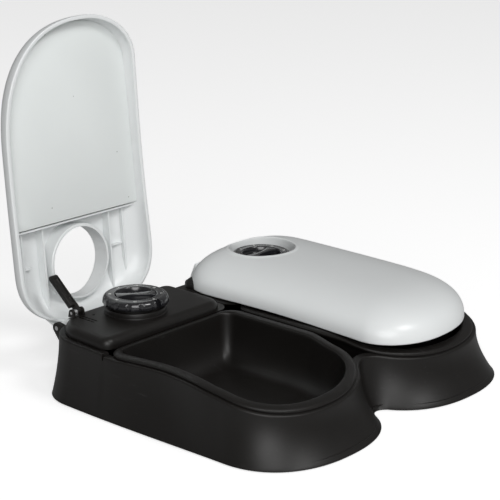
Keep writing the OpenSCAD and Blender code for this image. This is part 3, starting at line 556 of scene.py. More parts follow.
def grain_group():
    """Moulded plastic: slow drift of colour and gloss over a fine spark-eroded grain."""
    group, w, i, o = shader_group("moulded_grain", [
        ("Vector", V, None), ("Colour", C, (0.5, 0.5, 0.5, 1)), ("Drift", F, 0.1), ("Roughness", F, 0.4),
        ("Roughness drift", F, 0.06), ("Grain scale", F, 1800.0), ("Grain height", F, 0.5),
    ], [("Colour", C), ("Roughness", F), ("Height", F)])
    slow = w.noise(i["Vector"], 14.0, 4.0, 0.55)
    fine = w.noise(i["Vector"], i["Grain scale"], 2.0, 0.6)
    flow = w.noise(i["Vector"], 60.0, 3.0, 0.6)
    shade = w.math("MULTIPLY", w.math("SUBTRACT", slow, 0.5), i["Drift"])
    gain = w.math("ADD", 1.0, w.math("MULTIPLY", shade, 2.0))
    w.feed(o["Colour"],
           w.add("ShaderNodeVectorMath", {0: i["Colour"], "Scale": gain}, operation="SCALE").outputs[0])
    drift = w.math("MULTIPLY", w.math("SUBTRACT", flow, 0.5), i["Roughness drift"])
    w.feed(o["Roughness"], w.math("ADD", i["Roughness"], drift, clamp=True))
    w.feed(o["Height"], w.math("MULTIPLY", fine, i["Grain height"]))
    return group


def speck_group():
    """Small scattered dots, a share of the cells of a cell pattern."""
    group, w, i, o = shader_group("scattered_specks", [
        ("Vector", V, None), ("Scale", F, 90.0), ("Size", F, 0.05), ("Share", F, 0.4),
    ], [("Mask", F)])
    cells = w.add("ShaderNodeTexVoronoi", {"Vector": i["Vector"], "Scale": i["Scale"], "Randomness": 1.0})
    pick = w.add("ShaderNodeSeparateColor", {"Color": cells.outputs["Color"]})
    kept = w.math("LESS_THAN", pick.outputs[0], i["Share"])
    size = w.math("MULTIPLY", i["Size"], w.math("ADD", 0.4, pick.outputs[1]))
    near = w.math("LESS_THAN", cells.outputs["Distance"], size)
    w.feed(o["Mask"], w.math("MULTIPLY", kept, near))
    return group


def dust_group():
    """Fine dust that settles on what faces up."""
    group, w, i, o = shader_group("settled_dust", [
        ("Vector", V, None), ("Normal", V, None), ("Amount", F, 0.2), ("Scale", F, 35.0),
    ], [("Mask", F)])
    up = w.add("ShaderNodeSeparateXYZ", {0: i["Normal"]}).outputs["Z"]
    facing = w.remap(up, 0.2, 0.95, 0.0, 1.0)
    patch = w.remap(w.noise(i["Vector"], i["Scale"], 5.0, 0.65), 0.35, 0.75, 0.15, 1.0)
    w.feed(o["Mask"], w.math("MULTIPLY", w.math("MULTIPLY", facing, patch), i["Amount"], clamp=True))
    return group


def rub_group():
    """Fine scratches and rubbed streaks, stretched along one direction."""
    group, w, i, o = shader_group("rubbed_streaks", [
        ("Vector", V, None), ("Stretch", V, (1.0, 0.06, 1.0)), ("Scale", F, 400.0), ("Amount", F, 0.3),
    ], [("Mask", F)])
    spread = w.add("ShaderNodeVectorMath", {0: i["Vector"], 1: i["Stretch"]}, operation="MULTIPLY").outputs[0]
    lines = w.remap(w.noise(spread, i["Scale"], 4.0, 0.7), 0.6, 0.72, 0.0, 1.0)
    patch = w.remap(w.noise(i["Vector"], 22.0, 2.0, 0.5), 0.45, 0.65, 0.0, 1.0)
    w.feed(o["Mask"], w.math("MULTIPLY", w.math("MULTIPLY", lines, patch), i["Amount"], clamp=True))
    return group


class Finishes:
    """Makes each material once."""

    def __init__(self):
        self.grain, self.specks, self.dust, self.rub = grain_group(), speck_group(), dust_group(), rub_group()
        self.made = {}

    def plastic(self, name, colour, roughness, *, drift=0.12, spread=0.08, grain=1500.0, bump=0.35,
                depth=0.00004,
                coat=0.0, dust=0.0, dust_colour=(0.12, 0.11, 0.1, 1), specks=0.0,
                speck_colour=(0.2, 0.2, 0.2, 1),
                speck_scale=90.0, speck_size=0.06, rub=0.0, stretch=(1.0, 0.06, 1.0), metallic=0.0,
                specular=0.5, subsurface=0.0):
        if name in self.made:
            return self.made[name]
        mat = bpy.data.materials.new(name)
        mat.use_nodes = True
        w = Wiring(mat.node_tree)
        bsdf = mat.node_tree.nodes["Principled BSDF"]
        where = w.add("ShaderNodeTexCoord").outputs
        base = w.add("ShaderNodeGroup", node_tree=self.grain)
        for key, value in {"Vector": where["Object"], "Colour": (*colour, 1), "Drift": drift,
                           "Roughness": roughness, "Roughness drift": spread, "Grain scale": grain,
                           "Grain height": bump}.items():
            w.feed(base.inputs[key], value)
        shade, gloss = base.outputs["Colour"], base.outputs["Roughness"]
        if specks:
            dots = w.add("ShaderNodeGroup", {}, node_tree=self.specks)
            for key, value in {"Vector": where["Object"], "Scale": speck_scale, "Size": speck_size,
                               "Share": specks}.items():
                w.feed(dots.inputs[key], value)
            shade = w.mix_colour(dots.outputs["Mask"], shade, speck_colour)
        if rub:
            streak = w.add("ShaderNodeGroup", node_tree=self.rub)
            for key, value in {"Vector": where["Object"], "Stretch": stretch, "Amount": rub}.items():
                w.feed(streak.inputs[key], value)
            gloss = w.math("ADD", gloss, w.math("MULTIPLY", streak.outputs["Mask"], 0.2), clamp=True)
            shade = w.mix_colour(w.math("MULTIPLY", streak.outputs["Mask"], 0.12), shade, (0.4, 0.4, 0.4, 1))
        if dust:
            film = w.add("ShaderNodeGroup", node_tree=self.dust)
            for key, value in {"Vector": where["Object"], "Normal": where["Normal"], "Amount": dust}.items():
                w.feed(film.inputs[key], value)
            shade = w.mix_colour(film.outputs["Mask"], shade, dust_colour)
            gloss = w.math("ADD", gloss, w.math("MULTIPLY", film.outputs["Mask"], 0.5), clamp=True)
        w.feed(bsdf.inputs["Base Color"], shade)
        w.feed(bsdf.inputs["Roughness"], gloss)
        bump_node = w.add("ShaderNodeBump",
                          {"Strength": 0.6, "Distance": depth, "Height": base.outputs["Height"]})
        w.feed(bsdf.inputs["Normal"], bump_node.outputs["Normal"])
        bsdf.inputs["Metallic"].default_value = metallic
        bsdf.inputs["Coat Weight"].default_value = coat
        bsdf.inputs["Coat Roughness"].default_value = 0.15
        bsdf.inputs["Specular IOR Level"].default_value = specular
        if subsurface:
            bsdf.inputs["Subsurface Weight"].default_value = subsurface
            bsdf.inputs["Subsurface Radius"].default_value = (0.004, 0.004, 0.0035)
            bsdf.inputs["Subsurface Scale"].default_value = 1.0
        self.made[name] = mat
        return mat


FINISH = {}


def finish(name):
    """A material of the feeder by its name, made on first use."""
    look = bpy.context.scene.feeder_look
    maker = FINISH.setdefault("maker", Finishes())
    black, pale, dial = tuple(look.tub_colour), tuple(look.lid_colour), tuple(look.dial_colour)
    recipes = {
        "black_shell": dict(colour=black, roughness=look.tub_roughness, dust=0.03, rub=0.25, specular=0.35),
        "cover_shell": dict(colour=black, roughness=look.tub_roughness - 0.04, dust=0.05, rub=0.2,
                            specular=0.35),
        "bowl_shell": dict(colour=black, roughness=look.tub_roughness - 0.02, dust=0.02, rub=0.5,
                           specular=0.35),
        "lid_outside": dict(colour=pale, roughness=0.34, drift=0.02, bump=0.2, coat=0.12, specks=0.03,
                            speck_scale=70.0, speck_size=0.03, speck_colour=(0.5, 0.5, 0.48, 1)),
        "lid_panel": dict(colour=tuple(look.liner_colour), roughness=0.42, drift=0.03, bump=0.25,
                          specks=look.speck_share, speck_scale=105.0, speck_size=0.065,
                          speck_colour=(0.42, 0.44, 0.42, 1)),
        "dial_gloss": dict(colour=dial, roughness=0.2, drift=0.1, bump=0.15, coat=0.5, dust=0.08,
                           rub=0.6, grain=900.0),
        "scale_paint": dict(colour=tuple(look.scale_colour), roughness=0.5, drift=0.08, bump=0.4,
                            grain=2600.0),
        "rubber": dict(colour=(0.03, 0.03, 0.03), roughness=0.75, drift=0.2, bump=0.8, grain=1100.0,
                       depth=0.0001, dust=0.15),
        "steel": dict(colour=(0.55, 0.55, 0.56), roughness=0.3, metallic=1.0, drift=0.12, spread=0.2,
                      bump=0.5, grain=2400.0, rub=0.8, stretch=(0.05, 1.0, 1.0)),
        "movement_case": dict(colour=(0.55, 0.55, 0.5), roughness=0.5, drift=0.06, bump=0.5, grain=1300.0,
                              dust=0.1, rub=0.3),
        "cell_jacket": dict(colour=(0.5, 0.3, 0.06), roughness=0.28, drift=0.06, bump=0.2, coat=0.4,
                            rub=0.5, stretch=(0.08, 1.0, 1.0)),
    }
    return maker.plastic(name, **recipes[name])


def dress(node, name, slot=None):
    """Gives a frame node that keeps its own shape a better material."""
    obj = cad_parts[node]
    obj.data.materials.clear()
    obj.data.materials.append(finish(name))


# ---------------------------------------------------------------- properties
class FeederLook(bpy.types.PropertyGroup):
    """Sizes and colours of the feeder's visible details."""
    tub_colour: FloatVectorProperty(name="Tub colour",
                                    description="Colour of the tub, bowls, covers and arms",
                                    subtype="COLOR", min=0, max=1, default=(0.0062, 0.0053, 0.0046))
    tub_roughness: FloatProperty(name="Tub roughness", description="How matt the black plastic is",
                                 subtype="FACTOR", min=0.1, max=0.9, default=0.44)
    lid_colour: FloatVectorProperty(name="Lid colour", description="Colour of the lids' outside and rims",
                                    subtype="COLOR", min=0, max=1, default=(0.79, 0.81, 0.81))
    liner_colour: FloatVectorProperty(name="Liner colour", description="Colour of the panels inside the lids",
                                      subtype="COLOR", min=0, max=1, default=(0.77, 0.80, 0.79))
    dial_colour: FloatVectorProperty(name="Dial colour", description="Colour of the dials",
                                     subtype="COLOR", min=0, max=1, default=(0.012, 0.012, 0.014))
    scale_colour: FloatVectorProperty(name="Scale colour", description="Paint of the numerals and ticks",
                                      subtype="COLOR", min=0, max=1, default=(0.75, 0.75, 0.73))
    speck_share: FloatProperty(name="Specks",
                               description="Share of the cells on the lid's panel that hold a speck",
                               subtype="FACTOR", min=0, max=1, default=0.35)
    rim_round: FloatProperty(name="Rim rounding", description="Rounding of the tub's outer rim edge",
                             unit="LENGTH", min=0.0004, max=0.002, default=0.0012)
    flange_crown: FloatProperty(name="Flange crown",
                                description="How far the bowls' flanges fall to their edges",
                                unit="LENGTH", min=0.0002, max=0.002, default=0.0013)
    bezel_width: FloatProperty(name="Bezel width",
                               description="Width of the soft ring round the hole in a lid",
                               unit="LENGTH", min=0.001, max=0.006, default=0.0034)
    flute_depth: FloatProperty(name="Flute depth", description="Depth of the flutes round a dial",
                               unit="LENGTH", min=0.0002, max=0.0015, default=0.0009)
    numeral_size: FloatProperty(name="Numeral size", description="Height of the dials' numerals",
                                unit="LENGTH", min=0.001, max=0.004, default=0.0027)
    tick_count: IntProperty(name="Ticks", description="Number of ticks round a dial", min=8, max=96,
                            default=48)
    room_light: FloatProperty(name="Room light", description="Strength of the even light from all round",
                              min=0, max=2, default=0.2)


class FeederOperator:
    """What the feeder's operators share."""
    bl_options = {"REGISTER", "UNDO"}

    def execute(self, context):
        self.build(context.scene.feeder_look)
        return {"FINISHED"}


class FEEDER_OT_tub(FeederOperator, bpy.types.Operator):
    """Build the black tub with its flared skirt, ledge, hinge ears and battery bay"""
    bl_idname = "feeder.tub"
    bl_label = "Tub"

    def build(self, look):
        rr = look.rim_round / MM
        rings = [tub_ring(0, TUB_WALL + 26, FLOOR_Z - SKIRT_GAP),
                 tub_ring(0, TUB_WALL + 8, FLOOR_Z - SKIRT_GAP),
                 tub_ring(0, TUB_WALL, FLOOR_Z - SKIRT_GAP), tub_ring(0, TUB_WALL, 0.3),
                 tub_ring(0, TUB_WALL - 0.3, 0), tub_ring(0, 0.4, 0), tub_ring(0, 0, 0.4)]
        rings += [tub_ring(s, 0) for s in np.linspace(0.03, 0.955, 24)]
        for t in np.radians([0, 22.5, 45, 67.5, 90]):
            rings.append(tub_ring(1, rr * (1 - math.cos(t)), -rr * (1 - math.sin(t))))
        rings += [tub_ring(1, LEDGE_W - 0.5), tub_ring(1, LEDGE_W - 0.15, -0.15), tub_ring(1, LEDGE_W, -0.5),
                  tub_ring(1, LEDGE_W, -LEDGE_T), tub_ring(1, TUB_WALL, -LEDGE_T)]
        rings += [tub_ring(s, TUB_WALL) for s in (0.6, 0.35)]
        low = tub_ring(0.14, TUB_WALL)
        rings.append(at_z(low, FLOOR_TOP))
        steps = []
        for m in (-1, 1):
            for h in (-1, 1):
                for e in (-1, 1):
                    x = m * (LOBE_X + h * HINGE_OFF + e * (LUG_W / 2 + LUG_PLAY + EAR_W / 2))
                    steps.append(("UNION", self.ear(x)))
            for y in SCREW_YS:
                steps.append(("UNION", rod(m * SCREW_X, y, POST_R, FLOOR_TOP - 0.5, POST_SPLIT_Z)))
        for s in (-1, 1):
            x = s * (BAY_HALF_X + BAY_WALL / 2)
            y = BAY_Y + s * (BAY_HALF_Y + BAY_WALL / 2)
            steps.append(("UNION", block(x - BAY_WALL / 2, x + BAY_WALL / 2, BAY_Y - BAY_HALF_Y - BAY_WALL,
                                         BAY_Y + BAY_HALF_Y + BAY_WALL, FLOOR_TOP - 0.5, FLOOR_TOP + BAY_H)))
            steps.append(("UNION",
                          block(-BAY_HALF_X - 0.2, BAY_HALF_X + 0.2, y - BAY_WALL / 2, y + BAY_WALL / 2,
                                         FLOOR_TOP - 0.5, FLOOR_TOP + BAY_H)))
            steps += [("UNION", r) for r in self.rail(s)]
        steps.append(("DIFFERENCE", block(-BAY_HALF_X, BAY_HALF_X, BAY_Y - BAY_HALF_Y, BAY_Y + BAY_HALF_Y,
                                          FLOOR_Z - 1, FLOOR_TOP + 1)))
        for m in (-1, 1):
            for y in SCREW_YS:
                steps.append(("DIFFERENCE", rod(m * SCREW_X, y, SCREW_R + 0.05, 0, POST_SPLIT_Z + 1)))
                steps.append(("DIFFERENCE",
                              rod(m * SCREW_X, y, SCREW_HEAD_R + 0.3, 0, FLOOR_Z + SCREW_HEAD_H)))
            for h in (-1, 1):
                x, w = m * (LOBE_X + h * HINGE_OFF), LUG_W / 2 + LUG_PLAY + EAR_W + 1
                steps.append(("DIFFERENCE", rod_x(x - w, x + w, HINGE_Y, HINGE_Z, HINGE_PIN_R + 0.05)))
            # slot beside the step between cover and bowl
            x = m * rim_side_x(STEP_Y)
            steps.append(("DIFFERENCE", block(min(x - m * 2.2, x + m * 3), max(x - m * 2.2, x + m * 3),
                                              STEP_Y - 1.1, STEP_Y + 0.3, RIM_BACK_Z - 4.6, RIM_BACK_Z + 1)))
        mesh = combine(mesh_of("tub", [loft(rings)]), steps)
        put("tub_shell", mesh, finish("black_shell"), "tub", ("base_tub",))

    def ear(self, x):
        wall_y = TUB_BACK - RIM_BACK_IN - LEDGE_W / 2
        line = [(wall_y, HINGE_Z - 12), (wall_y, RIM_BACK_Z - 0.5), (HINGE_Y, HINGE_Z + EAR_R)]
        line += [(HINGE_Y + EAR_R * math.sin(t),
                  HINGE_Z + EAR_R * math.cos(t)) for t in np.radians(range(12, 132, 12))]
        line.append((wall_y + 3, HINGE_Z - 12))
        return rounded(prism_x(line, x - EAR_W / 2, x + EAR_W / 2), 0.4)

    def rail(self, s):
        x0, y0, y1, z0 = DOOR_HALF_X + DOOR_PLAY, BAY_Y - DOOR_HALF_Y, BAY_Y + DOOR_HALF_Y, DOOR_TOP - DOOR_T - 1.2
        a, b = (x0, x0 + RAIL_W) if s > 0 else (-x0 - RAIL_W, -x0)
        c, d = (x0 - RAIL_LIP, x0 + 0.5) if s > 0 else (-x0 - 0.5, -x0 + RAIL_LIP)
        return block(a, b, y0, y1, z0, z0 + DOOR_T + 1.6), block(c, d, y0, y1, z0, z0 + 1)


class FEEDER_OT_bowls(FeederOperator, bpy.types.Operator):
    """Build the two bowls with their crowned flanges"""
    bl_idname = "feeder.bowls"
    bl_label = "Bowls"

    def build(self, look):
        crown = look.flange_crown / MM
        under = -FLANGE_T + SEAT_GAP

        def on_flange(d, dz):
            line = bowl_line(d)
            return np.column_stack([line, [flange_z(y) + dz for y in line[:, 1]]])

        def inside(u, d):
            line = bowl_line(d)
            return np.column_stack([line, [mix(flange_z(y) - 1.2, BOWL_FLOOR_Z, u) for y in line[:, 1]]])

        def outside(u, d):
            line = bowl_line(d)
            return np.column_stack([line, [mix(flange_z(y) + under, BOWL_FLOOR_Z - BOWL_WALL,
                                               u) for y in line[:, 1]]])

        rings = [outside(1.0, FLANGE_W + 22), outside(1.0, FLANGE_W + 12), outside(0.93, FLANGE_W + 8.2),
                 outside(0.84, FLANGE_W + 4.6), outside(0.65, FLANGE_W + 1.6), outside(0.4, FLANGE_W),
                 outside(0.0, FLANGE_W - BOWL_WALL), on_flange(0.2, under), on_flange(0, under + 0.3)]
        half = FLANGE_W / 2
        for d, dz in ((0, -1.0 - 0.2 * crown), (0.15, -0.55 - 0.3 * crown), (0.55, -0.2 - 0.4 * crown)):
            rings.append(on_flange(d, dz))
        for d in (1.2, 2.0, 2.8, 3.6, 4.4, 5.2, 6.0, 6.6):
            rings.append(on_flange(d, -crown * 0.45 * abs((d - half) / half) ** 2.2))
        rings += [on_flange(7.2, -crown * 0.4 - 0.12), on_flange(7.7, -0.9), on_flange(FLANGE_W, -1.5)]
        stations = ((0.05, 8.15), (0.15, 8.5), (0.28, 9.0), (0.42, 9.7), (0.56, 10.6), (0.68, 11.7),
                    (0.78, 13.1),
                    (0.86, 14.9), (0.92, 16.9), (0.965, 19.2), (0.99, 21.8), (1.0, 24.8), (1.0, 34.0))
        rings += [inside(u, d) for u, d in stations]
        mesh = mesh_of("bowl", [loft(rings)])
        both_sides("bowl_dish", mesh, finish("bowl_shell"), "tub", "bowl_{side}")


class FEEDER_OT_covers(FeederOperator, bpy.types.Operator):
    """Build the two timer covers with collar, slits and the ears of the lift arms"""
    bl_idname = "feeder.covers"
    bl_label = "Timer covers"

    def build(self, look):
        inner_top, r = COVER_TOP_Z - COVER_WALL, COVER_ROUND
        rings = [at_z(cover_line(r), inner_top), at_z(cover_line(COVER_WALL), COVER_TOP_Z - r),
                 at_z(cover_line(COVER_WALL), COVER_Z), at_z(cover_line(0.3, COVER_LIP_GAP), COVER_Z),
                 at_z(cover_line(0, COVER_LIP_GAP), COVER_Z + 0.3),
                 at_z(cover_line(0, COVER_LIP_GAP), COVER_Z + COVER_LIP_T),
                 at_z(cover_line(0), COVER_Z + COVER_LIP_T + 0.2)]
        for t in np.radians(np.linspace(0, 90, 11)):
            rings.append(at_z(cover_line(r * (1 - math.cos(t))), COVER_TOP_Z - r + r * math.sin(t)))
        top = COVER_TOP_Z
        collar = [(22.9, inner_top - 0.3), (22.9, top + 0.5), (22.7, top + 0.9), (22.3, top + 1.1),
                  (22.2, top + 3.6), (21.9, top + 4.1), (21.2, top + 4.3), (20.2, top + 4.35),
                  (20.2, DIAL_UNDER_Z - 0.5)]
        steps = [("UNION", lathe(collar, LOBE_X, DIAL_Y, 96))]
        for y in SCREW_YS:
            steps.append(("UNION", rod(SCREW_X, y, POST_R, POST_SPLIT_Z + SEAT_GAP, inner_top + 0.5)))
        for e in (-1, 1):
            x = ARM_X + e * (ARM_W / 2 + ARM_PLAY + ARM_EAR_W / 2) - ARM_EAR_W / 2
            line = [(ARM_Y - ARM_EAR_R - 0.8, top - 0.5), (ARM_Y - ARM_EAR_R, ARM_Z)]
            line += [(ARM_Y - ARM_EAR_R * math.cos(t), ARM_Z + ARM_EAR_R * math.sin(t))
                     for t in np.radians(range(15, 180, 15))]
            line += [(ARM_Y + ARM_EAR_R, ARM_Z), (ARM_Y + ARM_EAR_R + 0.8, top - 0.5)]
            steps.append(("UNION", rounded(prism_x(line, x, x + ARM_EAR_W), 0.25)))
            x = ARM_X + e * SLIT_GAP / 2
            steps.append(("DIFFERENCE", block(x - SLIT_W / 2, x + SLIT_W / 2, ARM_Y - 20, ARM_Y - 4,
                                              inner_top - 1, top + 1)))
        steps.append(("DIFFERENCE", rod(LOBE_X, DIAL_Y, SPINDLE_R + 0.3, inner_top - 1, top + 10)))
        steps.append(("DIFFERENCE", rod(ARM_X - 9, ARM_Y - 8, 1.1, inner_top - 1, top + 1)))
        for y in SCREW_YS:
            steps.append(("DIFFERENCE", rod(SCREW_X, y, SCREW_R + 0.05, POST_SPLIT_Z - 1, POST_SPLIT_Z + 11)))
        steps.append(("DIFFERENCE", rod_x(ARM_X - 8, ARM_X + 8, ARM_Y, ARM_Z, ARM_PIN_R + 0.05)))
        mesh = combine(mesh_of("cover", [loft(rings)]), steps)
        both_sides("timer_lid", mesh, finish("cover_shell"), "tub", "timer_cover_{side}")


class FEEDER_OT_dials(FeederOperator, bpy.types.Operator):
    """Build the fluted timer dials with their sunk wells and finger grips"""
    bl_idname = "feeder.dials"
    bl_label = "Dials"

    def build(self, look):
        h, z0, deep = DIAL_SKIRT_H, DIAL_UNDER_Z, look.flute_depth / MM
        pitch = 2 * math.pi / FLUTE_N

        def reach(r, z, a):
            if r < SCALE_R + 0.6:
                return r
            off = ((a + math.pi / 2) % pitch) / pitch - 0.5
            wide = 0.17
            groove = deep * max(0.0, 1 - (off / wide) ** 2) ** 0.5 if abs(off) < wide else 0.0
            fade = clamp01((z0 + h - 1.0 - z) / 1.3)
            return r - groove * fade

        profile = [(SPINDLE_R, z0), (DIAL_R - 1.2, z0), (DIAL_R - 0.5, z0 + 0.15), (DIAL_R - 0.12, z0 + 0.5),
                   (DIAL_R, z0 + 1.0), (DIAL_R - 0.05, z0 + 2.2), (DIAL_R - 0.2, z0 + 3.4),
                   (DIAL_R - 0.45, z0 + 4.3),
                   (DIAL_R - 0.9, z0 + 5.1), (DIAL_R - 1.5, z0 + 5.7), (DIAL_R - 2.2, z0 + 6.15),
                   (DIAL_R - 2.9, z0 + 6.4), (SCALE_R, z0 + 6.48), (SCALE_R - 0.15, z0 + 6.3),
                   (SCALE_R - 0.5, z0 + 6.25), (WELL_R + 1.4, z0 + 6.25), (WELL_R + 0.9, z0 + 6.4),
                   (WELL_R + 0.5, z0 + 6.42), (WELL_R + 0.1, z0 + 6.2), (WELL_R - 0.2, z0 + 5.6),
                   (WELL_R - 0.7, z0 + h - WELL_DEPTH + 0.6), (WELL_R - 1.3, z0 + h - WELL_DEPTH + 0.1),
                   (WELL_R - 2.0, z0 + h - WELL_DEPTH), (SPINDLE_R, z0 + h - WELL_DEPTH)]
        body = lathe(profile, LOBE_X, DIAL_Y, 320, reach)
        steps = [("UNION", self.grip(z0 + h - WELL_DEPTH - 0.2)),
                 ("DIFFERENCE", rounded(block(LOBE_X - NOTCH_W / 2, LOBE_X + NOTCH_W / 2, DIAL_Y - DIAL_R - 1,
                                              DIAL_Y - DIAL_R + NOTCH_DEPTH, z0 - 1, z0 + h + 2), 0.5)),
                 ("DIFFERENCE", rod(LOBE_X, DIAL_Y, SPINDLE_R, z0 - 1, z0 + h - WELL_DEPTH - 0.8))]
        mesh = combine(mesh_of("dial", [body]), steps)
        both_sides("dial_knob", mesh, finish("dial_gloss"), "{side}_dial", "dial_{side}",
                   lambda left: None if left else (lambda p: turned(p, RIGHT_SETTING)))

    def grip(self, z0):
        """A bar across the well, its flanks drawn in by two large arcs."""
        line, far, big = [], WELL_R - 0.2, 31.2
        for u in np.linspace(-1, 1, 25):
            x = u * far * 0.955
            line.append((x, min(4.5, 33 - math.sqrt(big * big - x * x))))
        line += [(x, -y) for x, y in reversed(line)]
        t = math.radians(GRIP_TURN)
        line = [(LOBE_X + x * math.cos(t) - y * math.sin(t), DIAL_Y + x * math.sin(t) + y * math.cos(t))
                for x, y in line]
        return rounded(prism_z(line, z0, z0 + WELL_DEPTH - 0.1), 0.35, 2)


class FEEDER_OT_scales(FeederOperator, bpy.types.Operator):
    """Build the painted numerals and ticks round each dial"""
    bl_idname = "feeder.scales"
    bl_label = "Dial scales"

    def build(self, look):
        tree = self.ring_tree()
        for side, turn in (("left", 0.0), ("right", RIGHT_SETTING)):
            seed = bpy.data.meshes.new("scale_seed")
            obj = bpy.data.objects.new("scale_seed", seed)
            bpy.context.scene.collection.objects.link(obj)
            mod = obj.modifiers.new("scale", "NODES")
            mod.node_group = tree
            x = -LOBE_X if side == "left" else LOBE_X
            values = {"Centre": (x, DIAL_Y, DIAL_UNDER_Z + 6.2), "Turn": math.radians(turn),
                      "Numeral size": look.numeral_size / MM, "Tick count": look.tick_count,
                      "Paint": finish("scale_paint")}
            for item in tree.interface.items_tree:
                if item.item_type == "SOCKET" and item.in_out == "INPUT" and item.name in values:
                    mod[item.identifier] = values[item.name]
            mesh = evaluated(obj)
            put(f"dial_scale_{side}", mesh, finish("scale_paint"), f"{side}_dial", (),
                sharp=30)

    def ring_tree(self):
        """Eight numerals and a ring of ticks, flat on the dial's scale."""
        tree = bpy.data.node_groups.new("dial_scale_ring", "GeometryNodeTree")
        for name, kind, value in (("Geometry", "NodeSocketGeometry", None), ("Centre", V, None),
                                  ("Turn", F, 0.0),
                                  ("Numeral size", F, 2.6), ("Numeral radius", F, 18.45),
                                  ("Tick count", "NodeSocketInt", 48),
                                  ("Tick radius", F, 20.75), ("Tick length", F, 1.0), ("Tick width", F, 0.34),
                                  ("Relief", F, 0.16), ("Paint", "NodeSocketMaterial", None)):
            socket(tree, name, "INPUT", kind, value)
        socket(tree, "Geometry", "OUTPUT", "NodeSocketGeometry")
        w = Wiring(tree)
        i, o = w.add("NodeGroupInput").outputs, w.add("NodeGroupOutput").inputs
        join = w.add("GeometryNodeJoinGeometry")
        for k in range(8):
            a = math.radians(-90 + 45 * k)
            text = w.add("GeometryNodeStringToCurves", {"String": str(6 * k), "Size": i["Numeral size"]},
                         align_x="CENTER", align_y="MIDDLE")
            flat = w.add("GeometryNodeFillCurve", {"Curve": text.outputs["Curve Instances"]})
            across = w.math("MULTIPLY", i["Numeral radius"], math.cos(a))
            along = w.math("MULTIPLY", i["Numeral radius"], math.sin(a))
            spot = w.add("ShaderNodeCombineXYZ", {"X": across, "Y": along})
            moved = w.add("GeometryNodeTransform",
                          {"Geometry": flat.outputs[0], "Translation": spot.outputs[0],
                                                    "Rotation": (0.0, 0.0, a - math.pi / 2)})
            tree.links.new(moved.outputs[0], join.inputs[0])
        real = w.add("GeometryNodeRealizeInstances", {0: join.outputs[0]})
        raised = w.add("GeometryNodeExtrudeMesh", {"Mesh": real.outputs[0], "Offset Scale": i["Relief"],
                                                   "Individual": False})
        under = w.add("GeometryNodeFlipFaces", {"Mesh": real.outputs[0]})
        closed = w.add("GeometryNodeJoinGeometry")
        tree.links.new(raised.outputs["Mesh"], closed.inputs[0])
        tree.links.new(under.outputs[0], closed.inputs[0])
        whole = w.add("GeometryNodeMergeByDistance", {"Geometry": closed.outputs[0], "Distance": 0.0005})
        circle = w.add("GeometryNodeMeshCircle", {"Vertices": i["Tick count"], "Radius": i["Tick radius"]})
        cube_size = w.add("ShaderNodeCombineXYZ",
                          {"X": i["Tick length"], "Y": i["Tick width"], "Z": i["Relief"]})
        cube = w.add("GeometryNodeMeshCube", {"Size": cube_size.outputs[0]})
        lifted = w.add("ShaderNodeCombineXYZ", {"Z": w.math("MULTIPLY", i["Relief"], 0.5)})
        tick = w.add("GeometryNodeTransform",
                     {"Geometry": cube.outputs["Mesh"], "Translation": lifted.outputs[0]})
        place = w.add("GeometryNodeInputPosition")
        aim = w.add("FunctionNodeAlignRotationToVector", {"Vector": place.outputs[0]}, axis="X",
                    pivot_axis="Z")
        ticks = w.add("GeometryNodeInstanceOnPoints",
                      {"Points": circle.outputs[0], "Instance": tick.outputs[0],
                                                       "Rotation": aim.outputs[0]})
        # the ring of ticks lies outside the numerals, on the rounded shoulder's edge, at the numerals' height
        both = w.add("GeometryNodeJoinGeometry")
        tree.links.new(whole.outputs[0], both.inputs[0])
        tree.links.new(ticks.outputs[0], both.inputs[0])
        turn = w.add("ShaderNodeCombineXYZ", {"Z": i["Turn"]})
        home = w.add("GeometryNodeTransform", {"Geometry": both.outputs[0], "Translation": i["Centre"],
                                               "Rotation": turn.outputs[0]})
        solid = w.add("GeometryNodeRealizeInstances", {0: home.outputs[0]})
        painted = w.add("GeometryNodeSetMaterial", {"Geometry": solid.outputs[0], "Material": i["Paint"]})
        w.feed(o[0], painted.outputs[0])
        return tree


class FEEDER_OT_arms(FeederOperator, bpy.types.Operator):
    """Build the two spring-loaded arms that push the lids open"""
    bl_idname = "feeder.arms"
    bl_label = "Lift arms"

    def build(self, look):
        half, t = ARM_W / 2, ARM_T / 2
        tip = ARM_Y - ARM_LEN + t
        line = [(ARM_Y - 5, ARM_Z - t), (ARM_Y - 5, ARM_Z + t), (tip, ARM_Z + t)]
        line += [(tip - t * math.sin(a), ARM_Z + t * math.cos(a)) for a in np.radians(range(18, 180, 18))]
        line.append((tip, ARM_Z - t))
        bar = rounded(prism_x(line, ARM_X - half, ARM_X + half), 0.45, 3)
        steps = [("UNION", rod_x(ARM_X - half, ARM_X, ARM_Y, ARM_Z, t + 0.2, 40, 0.2)),
                 ("UNION", block(ARM_X - half + 0.05, ARM_X - 0.05, ARM_Y - 6, ARM_Y, ARM_Z - t + 0.05,
                                 ARM_Z + t - 0.05)),
                 ("DIFFERENCE", rod_x(ARM_X - half - 1, ARM_X + 1, ARM_Y, ARM_Z, ARM_PIN_R + 0.05))]
        for z in (ARM_Z - t - 1, ARM_Z + t - 0.8):
            steps.append(("DIFFERENCE",
                          rounded(block(ARM_X - 1.6, ARM_X + 1.6, ARM_Y - ARM_LEN + 3.5, ARM_Y - 14,
                                                      z, z + 1.8), 0.3)))
            steps.append(("DIFFERENCE", rounded(block(ARM_X - 1.6, ARM_X + 1.6, ARM_Y - 12.4, ARM_Y - 7,
                                                      z, z + 1.8), 0.3)))
        mesh = combine(mesh_of("arm", [bar]), steps)
        both_sides("arm_lever", mesh, finish("cover_shell"), "{side}_arm", "lift_arm_{side}",
                   lambda left: (lambda p: swung(p, -ARM_SWING, ARM_Y, ARM_Z)) if left else None)


